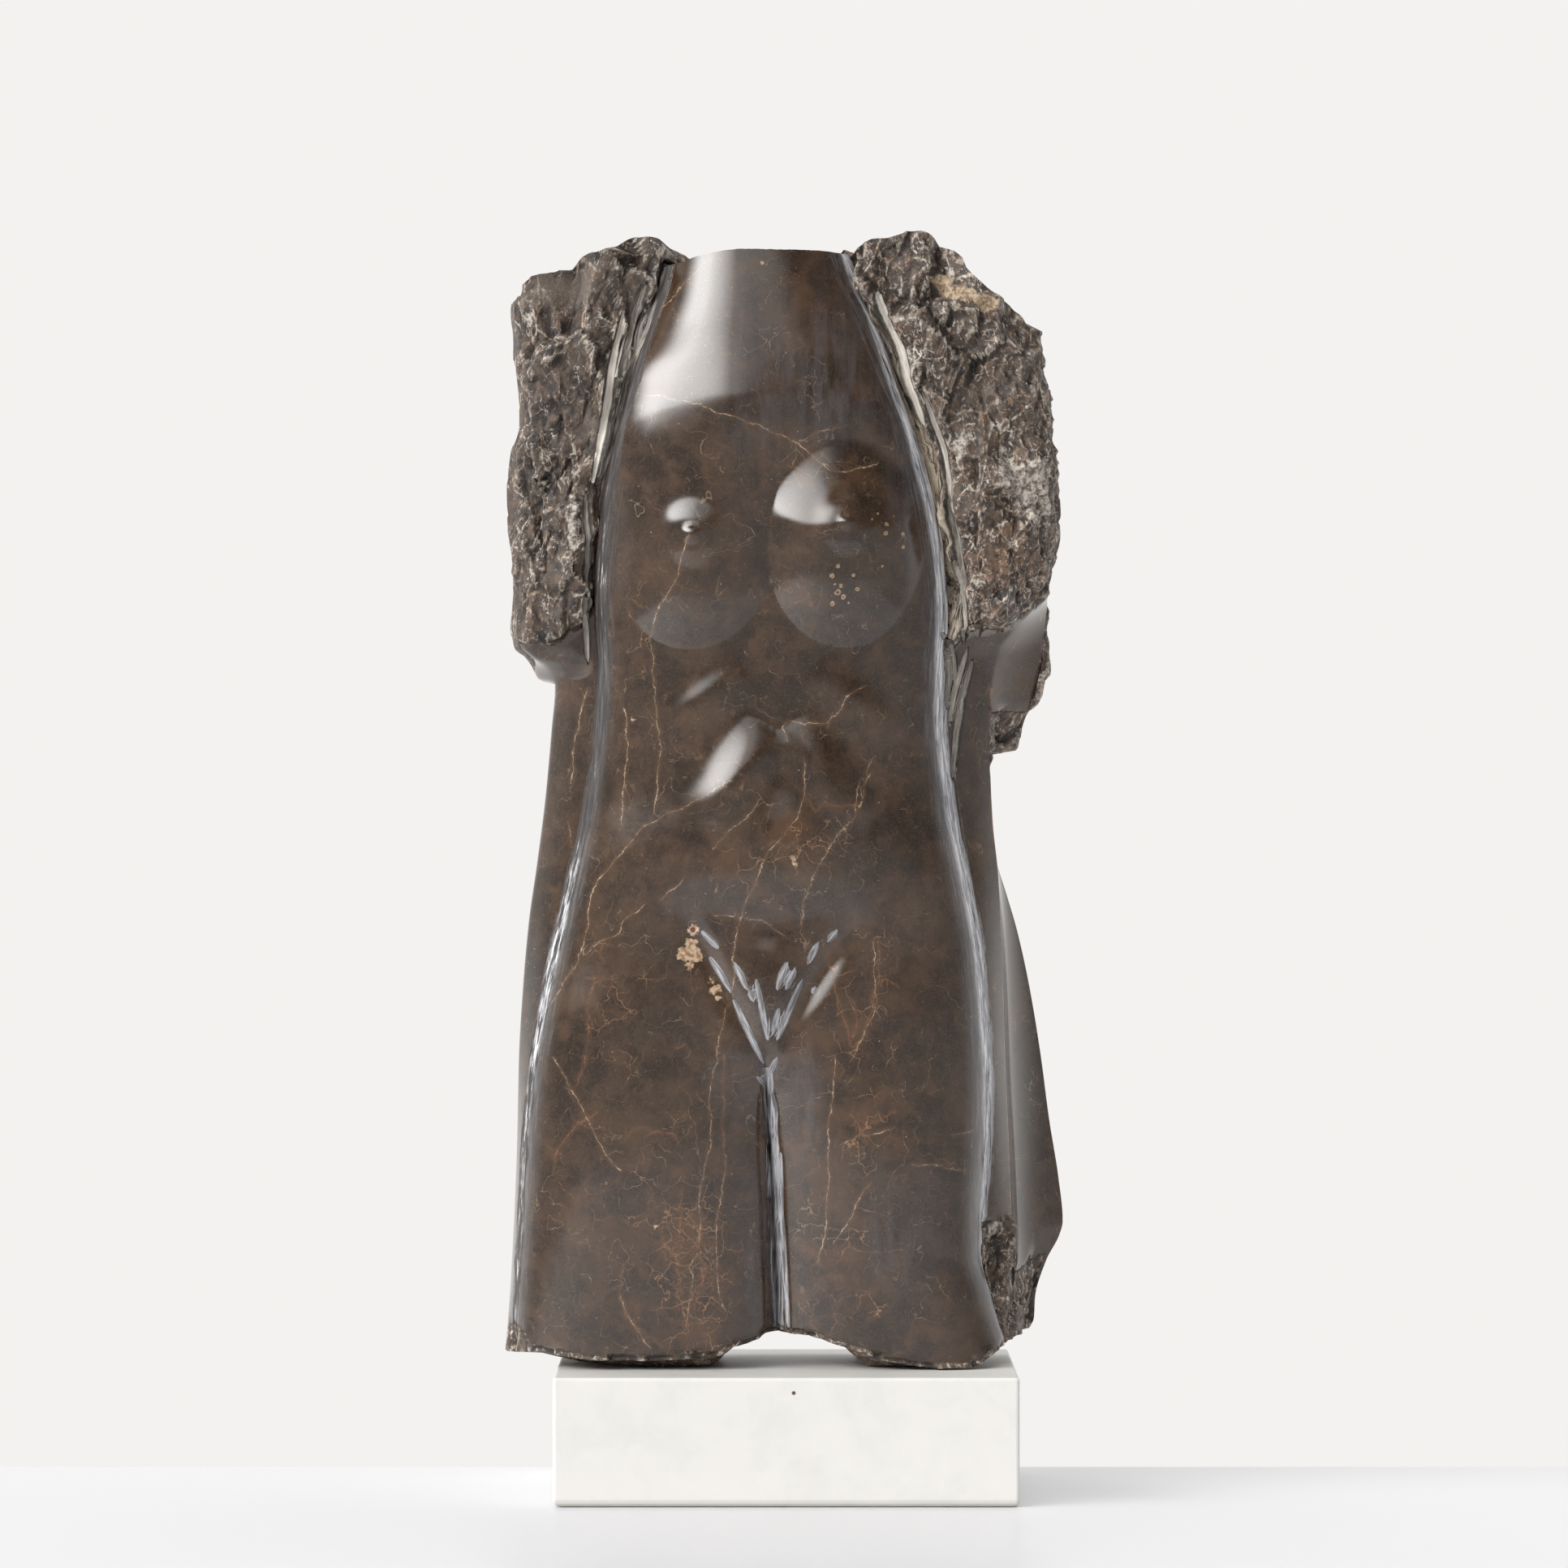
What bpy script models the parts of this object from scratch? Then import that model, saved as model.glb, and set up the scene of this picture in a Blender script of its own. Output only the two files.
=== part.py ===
"""Female torso carved from one block of dark fossil limestone, standing on a white marble plinth.

The polished body stands proud of the block between two chiselled grooves. The stone of the
shoulders is left rough and broken, and so are the top, the underside and the lower right corner.
Metres, +Z up. The origin is the middle of the plinth's underside, and the body faces -Y.
"""

import bpy
import numpy as np
from mathutils import Vector, noise

TORSO_HEIGHT = 0.536      # seat on the plinth to the highest point of the broken shoulder
PLINTH_WIDTH = 0.216
PLINTH_DEPTH = 0.150
PLINTH_HEIGHT = 0.060
PLINTH_EDGE = 0.0016      # worn rounding of the plinth's upright and top edges
PLINTH_CHAMFER = 0.0035   # chamfer around the plinth's underside
SEAT_GAP = 0.0003         # between the torso's feet and the plinth's top

# The torso's form is given in hundredths of its height: a level above its seat, a place across
# (+ to the viewer's right) and a depth (+ away from the viewer).
UNIT = TORSO_HEIGHT / 100

# Upright lines that the sections run through, as (level, across, depth).
BACK_MIDDLE = [(0, -0.5, 9.4), (20, -0.5, 9.9), (34, -0.5, 10.6), (46, -0.5, 9.2),
               (58, -0.5, 9.4), (75, -0.5, 10.9), (90, -0.5, 10.7), (100, -0.5, 9.8)]
BACK_LEFT = [(0, -21.0, 8.4), (20, -20.4, 9.0), (34, -19.2, 9.6), (46, -18.2, 8.8),
             (57, -17.8, 8.8), (64, -20.4, 9.4), (75, -21.2, 10.0), (90, -20.8, 9.8), (100, -20.0, 9.0)]
SIDE_LEFT = [(0, -24.0, 4.6), (20, -23.3, 5.2), (33, -22.5, 5.4), (45, -21.3, 5.2), (56, -20.1, 5.0),
             (60, -20.5, 5.2), (60.4, -22.5, 5.2), (62.2, -23.3, 5.0), (63.2, -24.5, 4.6),
             (68, -24.8, 4.4), (71, -24.6, 4.4), (74, -25.1, 4.4), (78.3, -25.0, 4.4),
             (80.5, -24.6, 4.4), (83, -23.7, 4.4), (90, -24.2, 4.4), (93.6, -24.7, 4.2), (100, -24.0, 4.0)]
FLANK_LEFT = [(0, -25.0, 0.8), (8, -24.4, 1.0), (20, -23.9, 1.2), (27, -23.8, 1.4), (33, -23.5, 1.6),
              (39, -23.0, 1.8), (44, -22.3, 2.0), (49.5, -21.6, 2.0), (56, -21.0, 2.0),
              (60.2, -20.6, 1.6), (61.4, -21.2, 0.6), (62.4, -22.6, -0.6), (64, -24.0, -1.0),
              (71, -23.9, -1.0), (75.8, -24.3, -1.0), (80.5, -24.0, -1.0), (83, -23.2, -1.0),
              (90, -23.7, -1.2), (93.6, -24.1, -1.0), (95, -23.5, -0.8), (100, -23.5, -0.4)]
GROOVE_LEFT = [(0, -24.1, -2.0), (6, -23.8, -2.0), (13, -23.4, -2.0), (20, -23.0, -1.9),
               (25, -22.5, -1.8), (29.4, -21.8, -1.7), (35.8, -20.5, -1.6), (41.6, -19.2, -1.5),
               (46, -18.2, -1.5), (51.6, -17.3, -1.5), (56, -16.9, -1.5), (61, -16.7, -1.5),
               (68, -17.0, -1.6), (74.5, -16.5, -2.0), (80.2, -15.5, -2.7), (86.7, -13.9, -2.8),
               (91, -12.7, -1.2), (95, -11.5, 0.0), (100, -10.2, 0.4)]
BODY_MIDDLE = [(0, -0.8), (4, -0.8), (15, -1.2), (27, -1.8), (34, -1.6), (46, -1.2), (63, -1.0),
               (80, -1.0), (90, -2.0), (100, -3.0)]
GROOVE_RIGHT = [(0, 20.2, -1.8), (2.2, 19.4, -1.8), (5.8, 18.3, -1.8), (10, 17.3, -1.7),
                (13, 17.3, -1.6), (20, 17.7, -1.5), (26, 17.7, -1.5), (31, 17.4, -1.5),
                (36.6, 16.9, -1.5), (41.6, 16.0, -1.5), (46, 15.1, -1.5), (51, 14.4, -1.5),
                (56, 13.9, -1.5), (60, 14.0, -1.5), (66, 14.4, -1.6), (71, 14.1, -1.7),
                (76, 13.3, -1.8), (81, 12.0, -2.0), (86, 10.2, -2.2), (91, 8.3, -2.3),
                (95, 6.5, -2.4), (100, 4.6, -2.4)]
FLANK_RIGHT = [(0, 20.4, 0.8), (1.8, 20.6, 0.8), (5.6, 20.4, 0.9), (12.8, 20.0, 1.0), (20, 19.7, 1.1),
               (27, 19.4, 1.2), (34, 19.2, 1.2), (43, 18.8, 1.2), (48, 18.3, 1.2), (53, 18.1, 1.2),
               (58, 18.1, 1.0), (62.5, 18.7, 0.4), (64.5, 20.0, 0.0), (67.8, 22.6, -0.8),
               (71, 23.5, -1.0), (79, 23.8, -1.0), (82, 23.0, -1.0), (85, 22.9, -1.0),
               (91.4, 21.9, -0.8), (100, 21.9, -0.4)]
COVE_RIGHT = [(0, 20.1, 4.5), (20, 20.1, 5.2), (34, 19.3, 5.2), (44, 18.5, 5.0), (50, 17.4, 4.8),
              (53.9, 17.6, 4.8), (54.3, 19.2, 4.2), (58, 20.0, 3.8), (63, 21.1, 3.4), (67, 22.8, 2.8),
              (71, 23.8, 2.4),
              (80, 24.1, 2.0), (90, 22.7, 2.0), (100, 22.5, 2.0)]
FIN_RIGHT = [(0, 20.4, 7.0), (1.4, 21.0, 7.0), (3.4, 22.2, 7.0), (5.2, 22.3, 7.1), (8.5, 23.3, 7.2),
             (10.8, 24.5, 7.4), (12, 24.8, 7.5), (16, 24.4, 7.6), (21, 23.6, 7.6), (27, 22.8, 7.5),
             (33, 21.8, 7.3), (38, 20.7, 7.1), (41.4, 19.7, 6.9), (44.3, 18.8, 6.8), (50, 17.6, 6.6),
             (53.5, 17.7, 6.4), (53.8, 18.8, 6.2), (54.2, 21.2, 6.0), (55.9, 21.5, 5.8),
             (57.2, 21.9, 5.6), (58.2, 22.6, 5.5), (60.3, 23.3, 5.4), (62.5, 23.8, 5.2), (70, 23.4, 5.0),
             (71.4, 24.0, 5.0), (76, 24.4, 4.8), (79, 24.4, 4.8), (81.7, 23.4, 4.8), (85, 23.5, 4.8),
             (90, 22.5, 4.8), (100, 22.3, 4.6)]
BACK_RIGHT = [(0, 18.6, 9.0), (5, 19.8, 9.4), (12, 21.8, 9.8), (20, 21.2, 9.9), (34, 19.2, 9.9),
              (44, 17.0, 9.0), (52, 16.4, 8.8), (57, 18.6, 9.0), (64, 20.8, 9.6), (75, 21.4, 10.2),
              (90, 20.4, 9.8), (100, 19.6, 9.0)]
LINES = [BACK_MIDDLE, BACK_LEFT, SIDE_LEFT, FLANK_LEFT, GROOVE_LEFT, BODY_MIDDLE,
         GROOVE_RIGHT, FLANK_RIGHT, FIN_RIGHT, BACK_RIGHT, BACK_MIDDLE]
LEFT_EDGE, LEFT_GROOVE, MIDDLE, RIGHT_GROOVE, RIGHT_EDGE, FIN = 3, 4, 5, 6, 7, 8

# The broken rims, as (place round the section in lines passed, level).
TOP_RIM = [(0, 97.0), (0.5, 97.2), (1, 95.0), (2, 93.6), (3, 94.3), (3.08, 95.9), (3.36, 96.6),
           (3.44, 97.7), (3.64, 98.6), (3.78, 99.5), (3.93, 99.3), (4, 97.2), (4.24, 97.0),
           (4.38, 97.5), (4.53, 97.8), (4.8, 98.1), (5.64, 98.0), (6, 97.8), (6.13, 98.9),
           (6.32, 99.5), (6.35, 100), (6.53, 98.5), (6.6, 97.7), (6.63, 96.4), (6.67, 95.4),
           (6.78, 94.0), (6.9, 92.8), (7, 91.1), (8, 91.0), (9, 93.0), (9.5, 96.4), (10, 97.0)]
BOTTOM_RIM = [(0, 2.6), (0.3, 1.6), (1, 1.0), (2, 1.0), (3, 1.1), (4, 1.2), (4.06, 1.3), (4.13, 1.6),
              (4.19, 1.3), (4.43, 0.8), (4.65, 1.0), (4.72, 1.2), (4.77, 1.9), (4.86, 2.2),
              (4.93, 2.9), (5, 3.3), (5.06, 3.0), (5.215, 2.8), (5.36, 1.8),
              (5.495, 0.6), (5.637, 0.15), (5.755, 0.2), (5.843, 0.8), (5.91, 1.3), (6, 1.8),
              (7, 2.4), (8, 2.4), (9, 1.6), (9.7, 1.8), (10, 2.6)]
TOP_MIDDLE = (1.0, 4.0, 95.6)        # across, depth and level of the middle of the broken top
UNDER_MIDDLE = (-0.4, 3.2, 2.9)      # and of the hollow under the torso, between its two feet
ARCH = (0.2, 5.6)                    # middle and half width of that hollow

# Front of the body, as (level, value).
CROWN = [(0, -7.2), (12, -7.6), (22, -7.9), (30, -7.9), (37, -7.6), (44, -8.0), (52, -7.3),
         (60, -7.0), (66, -6.8), (72, -6.7), (78, -6.9), (85, -7.15), (86.5, -7.03), (88, -6.78),
         (94, -5.5), (100, -4.3)]
CHEST_LEAN = 0.04                    # how much lower the chest's slope reaches towards its left side
ROUNDNESS = [(0, 2.6), (30, 2.8), (50, 2.7), (65, 2.8), (80, 2.4), (86, 2.4), (91, 3.0), (100, 2.8)]
SHOULDERS = [(0, 0.5), (84, 0.5), (88, 0.65), (92, 0.9), (100, 0.95)]    # 0.5 full, 1 sloping
CREASE = [(0, -3.2), (12, -3.6), (20, -4.2), (25, -5.4), (28.5, -7.6), (100, -7.8)]
THIGH_TOP, THIGH_FULL = 30, 23       # the two thighs part between these levels
HIP_TOP, HIP_FULL = 52, 8            # and their outer sides turn into the hips between these

# Breasts as (across, level, half width, height, rise, how gently it slopes above).
BREASTS = [(-8.4, 72.2, 7.6, 1.5, 16.0, 1.0), (5.1, 72.4, 7.1, 2.2, 9.0, 0.0)]
BREAST_FALL = 9.2
NIPPLES = [(-8.3, 73.0), (5.3, 74.0)]
AREOLA_RADIUS, AREOLA_HEIGHT = 2.4, 0.33
NIPPLE_RADIUS, NIPPLE_HEIGHT = 0.62, 0.32

# Soft swellings of the front, as (across, level, spread across, spread up, height).
SWELLINGS = [(-1.0, 47.0, 6.5, 6.5, 0.60),       # belly
             (-1.5, 33.6, 3.8, 4.4, 0.60),       # mound
             (-11.5, 17.0, 6.0, 12.0, 0.35),     # left thigh
             (8.5, 17.0, 6.0, 12.0, 0.35),       # right thigh
             (-4.5, 84.0, 3.5, 8.0, 0.45)]       # left of the breastbone
# Soft ridges (+) and furrows (-), as (across, level) of both ends, width and height.
FOLDS = [((-10.0, 41.4), (-0.5, 38.2), 1.5, -0.20), ((-3.5, 38.2), (6.0, 40.6), 1.5, -0.20),
         ((-9.8, 41.0), (-0.9, 25.6), 1.1, -0.50), ((6.6, 40.2), (-2.4, 26.0), 1.1, -0.50),
         ((-1.6, 56.2), (-7.0, 47.4), 2.0, 0.74), ((0.4, 56.6), (6.4, 47.4), 2.0, 0.42),
         ((-3.6, 61.2), (-11.6, 55.2), 1.5, 0.28), ((2.2, 61.2), (9.8, 55.2), 1.5, 0.28)]

# Broken stone stands proud beside the grooves by this much, smooth stone and the back by less.
STONE_STANDS = {LEFT_EDGE: 1.6, RIGHT_GROOVE: 2.4}
FLANK_SWELL, BACK_SWELL = 0.30, 1.1
CHIP_SIZE, CHIP_HEIGHT, CHIP_RECESS = 5.5, 0.8, 0.15     # its flat facets
CHIP_LENGTH = 0.6                    # their width as a share of their upright length
TOP_CHIP_SIZE, TOP_CHIP_HEIGHT = 7.0, 0.5
FACET_SLOPE, FACET_RISE, FACET_STEP = 1.5, 0.25, 0.14
SMOOTHINGS = 14                      # how often the corners of the sections are smoothed
EDGE_SPACING = 0.35                  # how much closer columns stand at the grooves

# Mesh counts: spans between the lines of a section, rows up the sides and rings on each end.
SPANS = [6, 3, 3, 8, 13, 13, 9, 5, 3, 6]
ROW_LEVELS = [(0, 0), (11, 12.5), (22, 34), (31, 53.2), (34, 54.4), (38, 60), (43, 65), (51, 77),
              (63, 100)]             # rows, closer together where the outline has steps
ROWS, RINGS = ROW_LEVELS[-1][0], 4
RIM_BLEND = 8, 80                    # the rows follow the broken rims below and above these levels
FINE = 4                             # the form is worked out this much finer, then thinned


def through(points, at, value=1):
    """Smooth curve, without overshoot, through (place, value) points."""
    table = np.array([(p[0], p[value]) for p in points], float)
    place, height = table.T
    step = np.diff(place)
    slope = np.diff(height) / step
    both = slope[:-1] * slope[1:]
    middle = np.where(both > 0, 2 * both / (slope[:-1] + slope[1:] + 1e-12 * (both <= 0)), 0)
    tangent = np.concatenate([slope[:1], middle, slope[-1:]])
    i = np.clip(np.searchsorted(place, at) - 1, 0, len(place) - 2)
    t = np.clip((at - place[i]) / step[i], 0, 1)
    return (height[i] * (1 + 2 * t) * (1 - t) ** 2 + height[i + 1] * t * t * (3 - 2 * t)
            + step[i] * (tangent[i] * t * (1 - t) ** 2 - tangent[i + 1] * t * t * (1 - t)))


def ramp(value, start, end):
    """0 before start, 1 after end, smooth between."""
    t = np.clip((value - start) / (end - start), 0, 1)
    return t * t * (3 - 2 * t)


def fold(across, level, start, end, width, height):
    """A soft ridge or furrow along a straight line, fading towards its ends."""
    line = np.subtract(end, start)
    x, z = across - start[0], level - start[1]
    along = (x * line[0] + z * line[1]) / line.dot(line)
    away = (x * line[1] - z * line[0]) / np.hypot(*line)
    fade = np.sin(np.pi * np.clip(along, 0, 1)) ** 0.8
    return height * fade * np.exp(-(away / width) ** 2)


def slide(t):
    """0 at 0 and 1 at 1, an even slope that is rounded at both ends."""
    t = np.clip(t, 0, 1)
    bend = 0.2
    low, high = t * t / (2 * bend), 1 - bend - (1 - t) ** 2 / (2 * bend)
    return np.where(t < bend, low, np.where(t > 1 - bend, high, t - bend / 2)) / (1 - bend)


def breast(across, level, middle, height, half_width, full, rise, gentle):
    """A full breast: a soft slope above, a firmer edge below."""
    side, up = (across - middle) / half_width, level - height
    above = up / np.where(up > 0, rise, BREAST_FALL)
    away = np.hypot(side, above)
    softness = 0.9 + 0.8 * ramp(above / (away + 0.001), 0.2, 0.9)
    dome = np.clip(1 - away ** 2, 0, 1) ** softness
    sloped = np.clip(1 - side ** 2, 0, 1) ** 0.9 * (1 - slide(up / rise))
    return full * np.where(up > 0, dome + gentle * (sloped - dome), dome)


def body_front(across, level):
    """Depth of the polished front of the body."""
    middle = through(BODY_MIDDLE, level)
    left, right = through(GROOVE_LEFT, level), through(GROOVE_RIGHT, level)
    floor = np.where(across < middle, through(GROOVE_LEFT, level, 2), through(GROOVE_RIGHT, level, 2))
    share = np.where(across < middle, (middle - across) / (middle - left),
                     (across - middle) / (right - middle))
    share = np.clip(share, 0, 1)
    lean = CHEST_LEAN * np.clip(-5.5 - across, 0, 12) ** 2 * ramp(level, 77, 83)
    crown = through(CROWN, level + lean)
    power = through(ROUNDNESS, level)
    trunk = floor + (crown - floor) * np.clip(1 - share ** power, 0, 1) ** through(SHOULDERS, level)
    crease = through(CREASE, level)
    beside = np.where(share < 0.5, crease, floor)
    lobe = np.clip(1 - np.abs(2 * share - 1) ** 2.8, 0, 1)
    thigh = beside + (crown - beside) * np.sqrt(lobe)
    inner = 1 - ramp(level, THIGH_FULL, THIGH_TOP)
    outer = 1 - ramp(level, HIP_FULL, HIP_TOP)
    legs = inner + (outer - inner) * ramp(share, 0.35, 0.62)
    depth = trunk * (1 - legs) + thigh * legs
    relief = np.maximum(*[breast(across, level, *b) for b in BREASTS])
    for x, z in NIPPLES:
        away = np.hypot(across - x, level - z)
        relief = (relief + AREOLA_HEIGHT * np.exp(-(away / AREOLA_RADIUS) ** 4)
                  + NIPPLE_HEIGHT * np.exp(-(away / NIPPLE_RADIUS) ** 3))
    for x, z, wide, high, height in SWELLINGS:
        relief = relief + height * np.exp(-((across - x) / wide) ** 2 - ((level - z) / high) ** 2)
    for start, end, width, height in FOLDS:
        relief = relief + fold(across, level, start, end, width, height)
    return depth - relief * ramp(1 - share, 0.0, 0.25)


def rough_share(place, level):
    """Where the block is rough, from 0 to 1, by the place round the section and the level."""
    t = place % 1
    part = place.astype(int)
    wave = 0.8 * np.sin(place * 9.0) + 0.5 * np.sin(place * 23.0 + 1.0)
    lower = np.select(
        [part == 2, part == 3, part == 6, part == 7],
        [61.0 + 1.5 * t, 63.4 + 3.6 * t ** 3, through([(0, 62), (0.25, 64.3), (0.8, 64.8), (1, 66)], t),
         66.5 + 3.0 * t], 61.0 + wave)
    rough = ramp(level, lower - 0.4, lower + 0.4)
    rough = np.where((part == 4) | (part == 5), 0, rough)
    stump = (part == 7) * ramp(level, 52, 53.5) * (1 - ramp(level, 56.5, 58.5) * ramp(0.9 - t, 0, 0.15))
    corner = (part == 6) * (1 - ramp(level, 12.2, 12.8)) + (part == 7) * (1 - ramp(level, 6, 8 + 4 * t))
    return np.clip(np.maximum(rough, np.maximum(stump, corner)), 0, 1)


def section(place, level):
    """A point of the outer surface, across and depth, before the stone is broken."""
    part = np.clip(place.astype(int), 0, len(LINES) - 2)
    t = place - part
    across, depth = np.zeros_like(level), np.zeros_like(level)
    rough = rough_share(place, level)
    for i, (first, second) in enumerate(zip(LINES, LINES[1:])):
        here = part == i
        z, s = level[here], t[here]
        x0, x1 = through(first, z), through(second, z)
        if i in (LEFT_GROOVE, MIDDLE):
            s = s - EDGE_SPACING * np.sin(2 * np.pi * s) / (2 * np.pi)
            across[here] = x0 + (x1 - x0) * s
            depth[here] = body_front(across[here], z)
            continue
        y0, y1 = through(first, z, 2), through(second, z, 2)
        x, y = x0 + (x1 - x0) * s, y0 + (y1 - y0) * s
        if i == RIGHT_EDGE:
            bend = 2 * s * (1 - s)
            x = x + bend * (through(COVE_RIGHT, z) - (x0 + x1) / 2)
            y = y + bend * (through(COVE_RIGHT, z, 2) - (y0 + y1) / 2)
        if i in (LEFT_EDGE, RIGHT_GROOVE):
            stone = STONE_STANDS[i] * ramp(z, 40, 60)
            hump = np.clip(4 * s * (1 - s), 0, 1)
            y = y - stone * rough[here] * hump ** 0.6 - FLANK_SWELL * (1 - rough[here]) * hump
        if i in (0, 9):
            y = y + BACK_SWELL * np.sin(np.pi * s) * ramp(z, 8, 30)
        across[here], depth[here] = x, y
    return across, depth


def facets(points, size):
    """Broken stone: how far each point stands out, on flat facets of about this size."""
    out = np.empty(len(points))
    for i, point in enumerate(points):
        spot = Vector(point) / size
        away, near = noise.voronoi(spot)
        first, second = (tilt.dot(spot - centre) * FACET_SLOPE + tilt.x * FACET_RISE
                         for centre in near[:2]
                         for tilt in [noise.cell_vector(centre * 7.3) - Vector((0.5, 0.5, 0.5))])
        step = min(1.0, (away[1] - away[0]) / FACET_STEP)
        out[i] = size * (first + second + (first - second) * step) / 2
    return out


def torso_grid():
    """Points of the torso as rings from the middle of the underside, up the sides, to the top."""
    columns = sum(SPANS) * FINE
    place = np.concatenate([i + np.arange(n * FINE) / (n * FINE) for i, n in enumerate(SPANS)])
    rows = np.interp(np.arange(ROWS * FINE + 1) / FINE, *np.transpose(ROW_LEVELS))[:, None]
    low, high = through(BOTTOM_RIM, place), through(TOP_RIM, place)
    level = (rows + low * np.clip(1 - rows / RIM_BLEND[0], 0, 1)
             + (high - 100) * np.clip((rows - RIM_BLEND[1]) / (100 - RIM_BLEND[1]), 0, 1))
    around = np.broadcast_to(place, level.shape)
    across, depth = section(around.ravel(), level.ravel())
    sides = np.stack([across, depth, level.ravel()], 1).reshape(*level.shape, 3)
    rough = rough_share(around.ravel(), level.ravel()).reshape(level.shape)
    sides = rounded(sides, place)
    sides = broken(sides, rough)
    inwards = np.arange(RINGS * FINE, 0, -1)[:, None, None] / (RINGS * FINE)
    under = sides[0] + (np.array(UNDER_MIDDLE) - sides[0]) * inwards
    pads = UNDER_MIDDLE[2] * np.exp(-((under[..., 0] - ARCH[0]) / ARCH[1]) ** 6)
    under[..., 2] += (pads - under[..., 2]) * ramp(inwards[..., 0], 0.02, 0.3)
    top = sides[-1] + (np.array(TOP_MIDDLE) - sides[-1]) * inwards
    top[..., 2] = TOP_MIDDLE[2] + (sides[-1, :, 2] - TOP_MIDDLE[2]) * (1 - inwards[..., 0]) ** 3
    top = top[::-1]
    chips = TOP_CHIP_HEIGHT * facets(top.reshape(-1, 3), TOP_CHIP_SIZE).reshape(top.shape[:2])
    top[..., 2] += chips * ramp(1 - np.abs(2 * inwards[::-1, :, 0] - 1), 0, 0.5)
    return np.concatenate([under, sides, top]), columns


def rounded(sides, place):
    """Rounds the corners of each section, apart from the crisp ones."""
    soft = ((place < LEFT_GROOVE) | (place > RIGHT_GROOVE)) * 1.0
    for line in (LEFT_GROOVE, RIGHT_GROOVE):
        soft *= 1 - np.exp(-((place - line) / 0.12) ** 2)
    level = sides[..., 2:]
    edge = np.exp(-((place - RIGHT_EDGE) / 0.1) ** 2)[None, :, None] * (1 - ramp(level, 60, 64))
    fin = np.exp(-((place - FIN) / 0.15) ** 2)[None, :, None] * (1 - ramp(level, 48, 52))
    soft = soft[None, :, None] * (1 - np.maximum(edge, fin))
    for _ in range(SMOOTHINGS):
        mean = (np.roll(sides, 1, 1) + np.roll(sides, -1, 1)) / 2
        sides = sides + 0.5 * soft * (mean - sides) * (1, 1, 0)
    return sides


def outwards(sides):
    """Unit vector out of the surface at each point of the sides."""
    along = np.roll(sides, -1, 1) - np.roll(sides, 1, 1)
    up = np.gradient(sides, axis=0)
    normal = np.cross(along, up)
    return normal / np.linalg.norm(normal, axis=2, keepdims=True)


def broken(sides, rough):
    """Breaks the rough stone into facets."""
    where = rough > 0.01
    height = np.zeros(rough.shape)
    out = outwards(sides)
    facing = 0.1 + 0.9 * np.abs(out[where][:, 1])
    chips = CHIP_HEIGHT * facing * facets(sides[where] * (1, 1, CHIP_LENGTH), CHIP_SIZE)
    height[where] = rough[where] * (chips - CHIP_RECESS)
    return sides + out * height[..., None]


def add_torso(material):
    grid, columns = torso_grid()
    keep_rows = np.arange(0, len(grid), FINE)
    if keep_rows[-1] != len(grid) - 1:
        keep_rows = np.append(keep_rows, len(grid) - 1)
    grid = grid[keep_rows][:, ::FINE]
    rows, columns = grid.shape[:2]
    points = grid[1:-1].reshape(-1, 3)
    points = np.vstack([points, grid[0, 0], grid[-1, 0]]) * UNIT
    points[:, 2] += PLINTH_HEIGHT + SEAT_GAP
    around = np.arange(columns)
    after = np.roll(around, -1)
    faces = []
    for row in range(rows - 3):
        first = row * columns
        faces += [(first + a, first + b, first + columns + b, first + columns + a)
                  for a, b in zip(around, after)]
    under, top = len(points) - 2, len(points) - 1
    last = (rows - 3) * columns
    faces += [(under, b, a) for a, b in zip(around, after)]
    faces += [(top, last + a, last + b) for a, b in zip(around, after)]
    mesh = bpy.data.meshes.new("torso")
    mesh.from_pydata(points.tolist(), [], [[int(v) for v in face] for face in faces])
    mesh.shade_smooth()
    mesh.materials.append(material)
    return link(bpy.data.objects.new("torso", mesh))


def add_plinth(material):
    """Sawn block: chamfered round its underside, its other edges worn round."""
    bpy.ops.mesh.primitive_cube_add(size=1, location=(0, 0, PLINTH_HEIGHT / 2))
    plinth = bpy.context.object
    plinth.name = plinth.data.name = "plinth"
    plinth.dimensions = (PLINTH_WIDTH, PLINTH_DEPTH, PLINTH_HEIGHT)
    bpy.ops.object.transform_apply(location=False, rotation=False, scale=True)
    weight = plinth.data.attributes.new("bevel_weight_edge", "FLOAT", "EDGE")
    for edge in plinth.data.edges:
        low = all(plinth.data.vertices[v].co.z < 0 for v in edge.vertices)
        weight.data[edge.index].value = 1.0 if low else PLINTH_EDGE / PLINTH_CHAMFER
    bevel = plinth.modifiers.new("worn edges", "BEVEL")
    bevel.limit_method = "WEIGHT"
    bevel.width = PLINTH_CHAMFER
    bevel.segments = 3
    plinth.data.materials.append(material)
    return link(plinth)


def stone(name, colour, roughness):
    material = bpy.data.materials.new(name)
    material.use_nodes = True
    shader = material.node_tree.nodes["Principled BSDF"]
    shader.inputs["Base Color"].default_value = (*colour, 1)
    shader.inputs["Roughness"].default_value = roughness
    shader.inputs["Metallic"].default_value = 0
    return material


def link(piece):
    """Moves an object into the sculpture's collection."""
    for collection in piece.users_collection:
        collection.objects.unlink(piece)
    bpy.data.collections["torso on plinth"].objects.link(piece)
    return piece


def main():
    for piece in list(bpy.data.objects):
        bpy.data.objects.remove(piece)
    sculpture = bpy.data.collections.new("torso on plinth")
    bpy.context.scene.collection.children.link(sculpture)
    add_plinth(stone("white marble", (0.80, 0.79, 0.76), 0.45))
    add_torso(stone("dark fossil limestone", (0.045, 0.033, 0.026), 0.2))


main()
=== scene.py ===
"""Female torso carved from one block of dark fossil limestone, on a white marble plinth."""

import math

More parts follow.
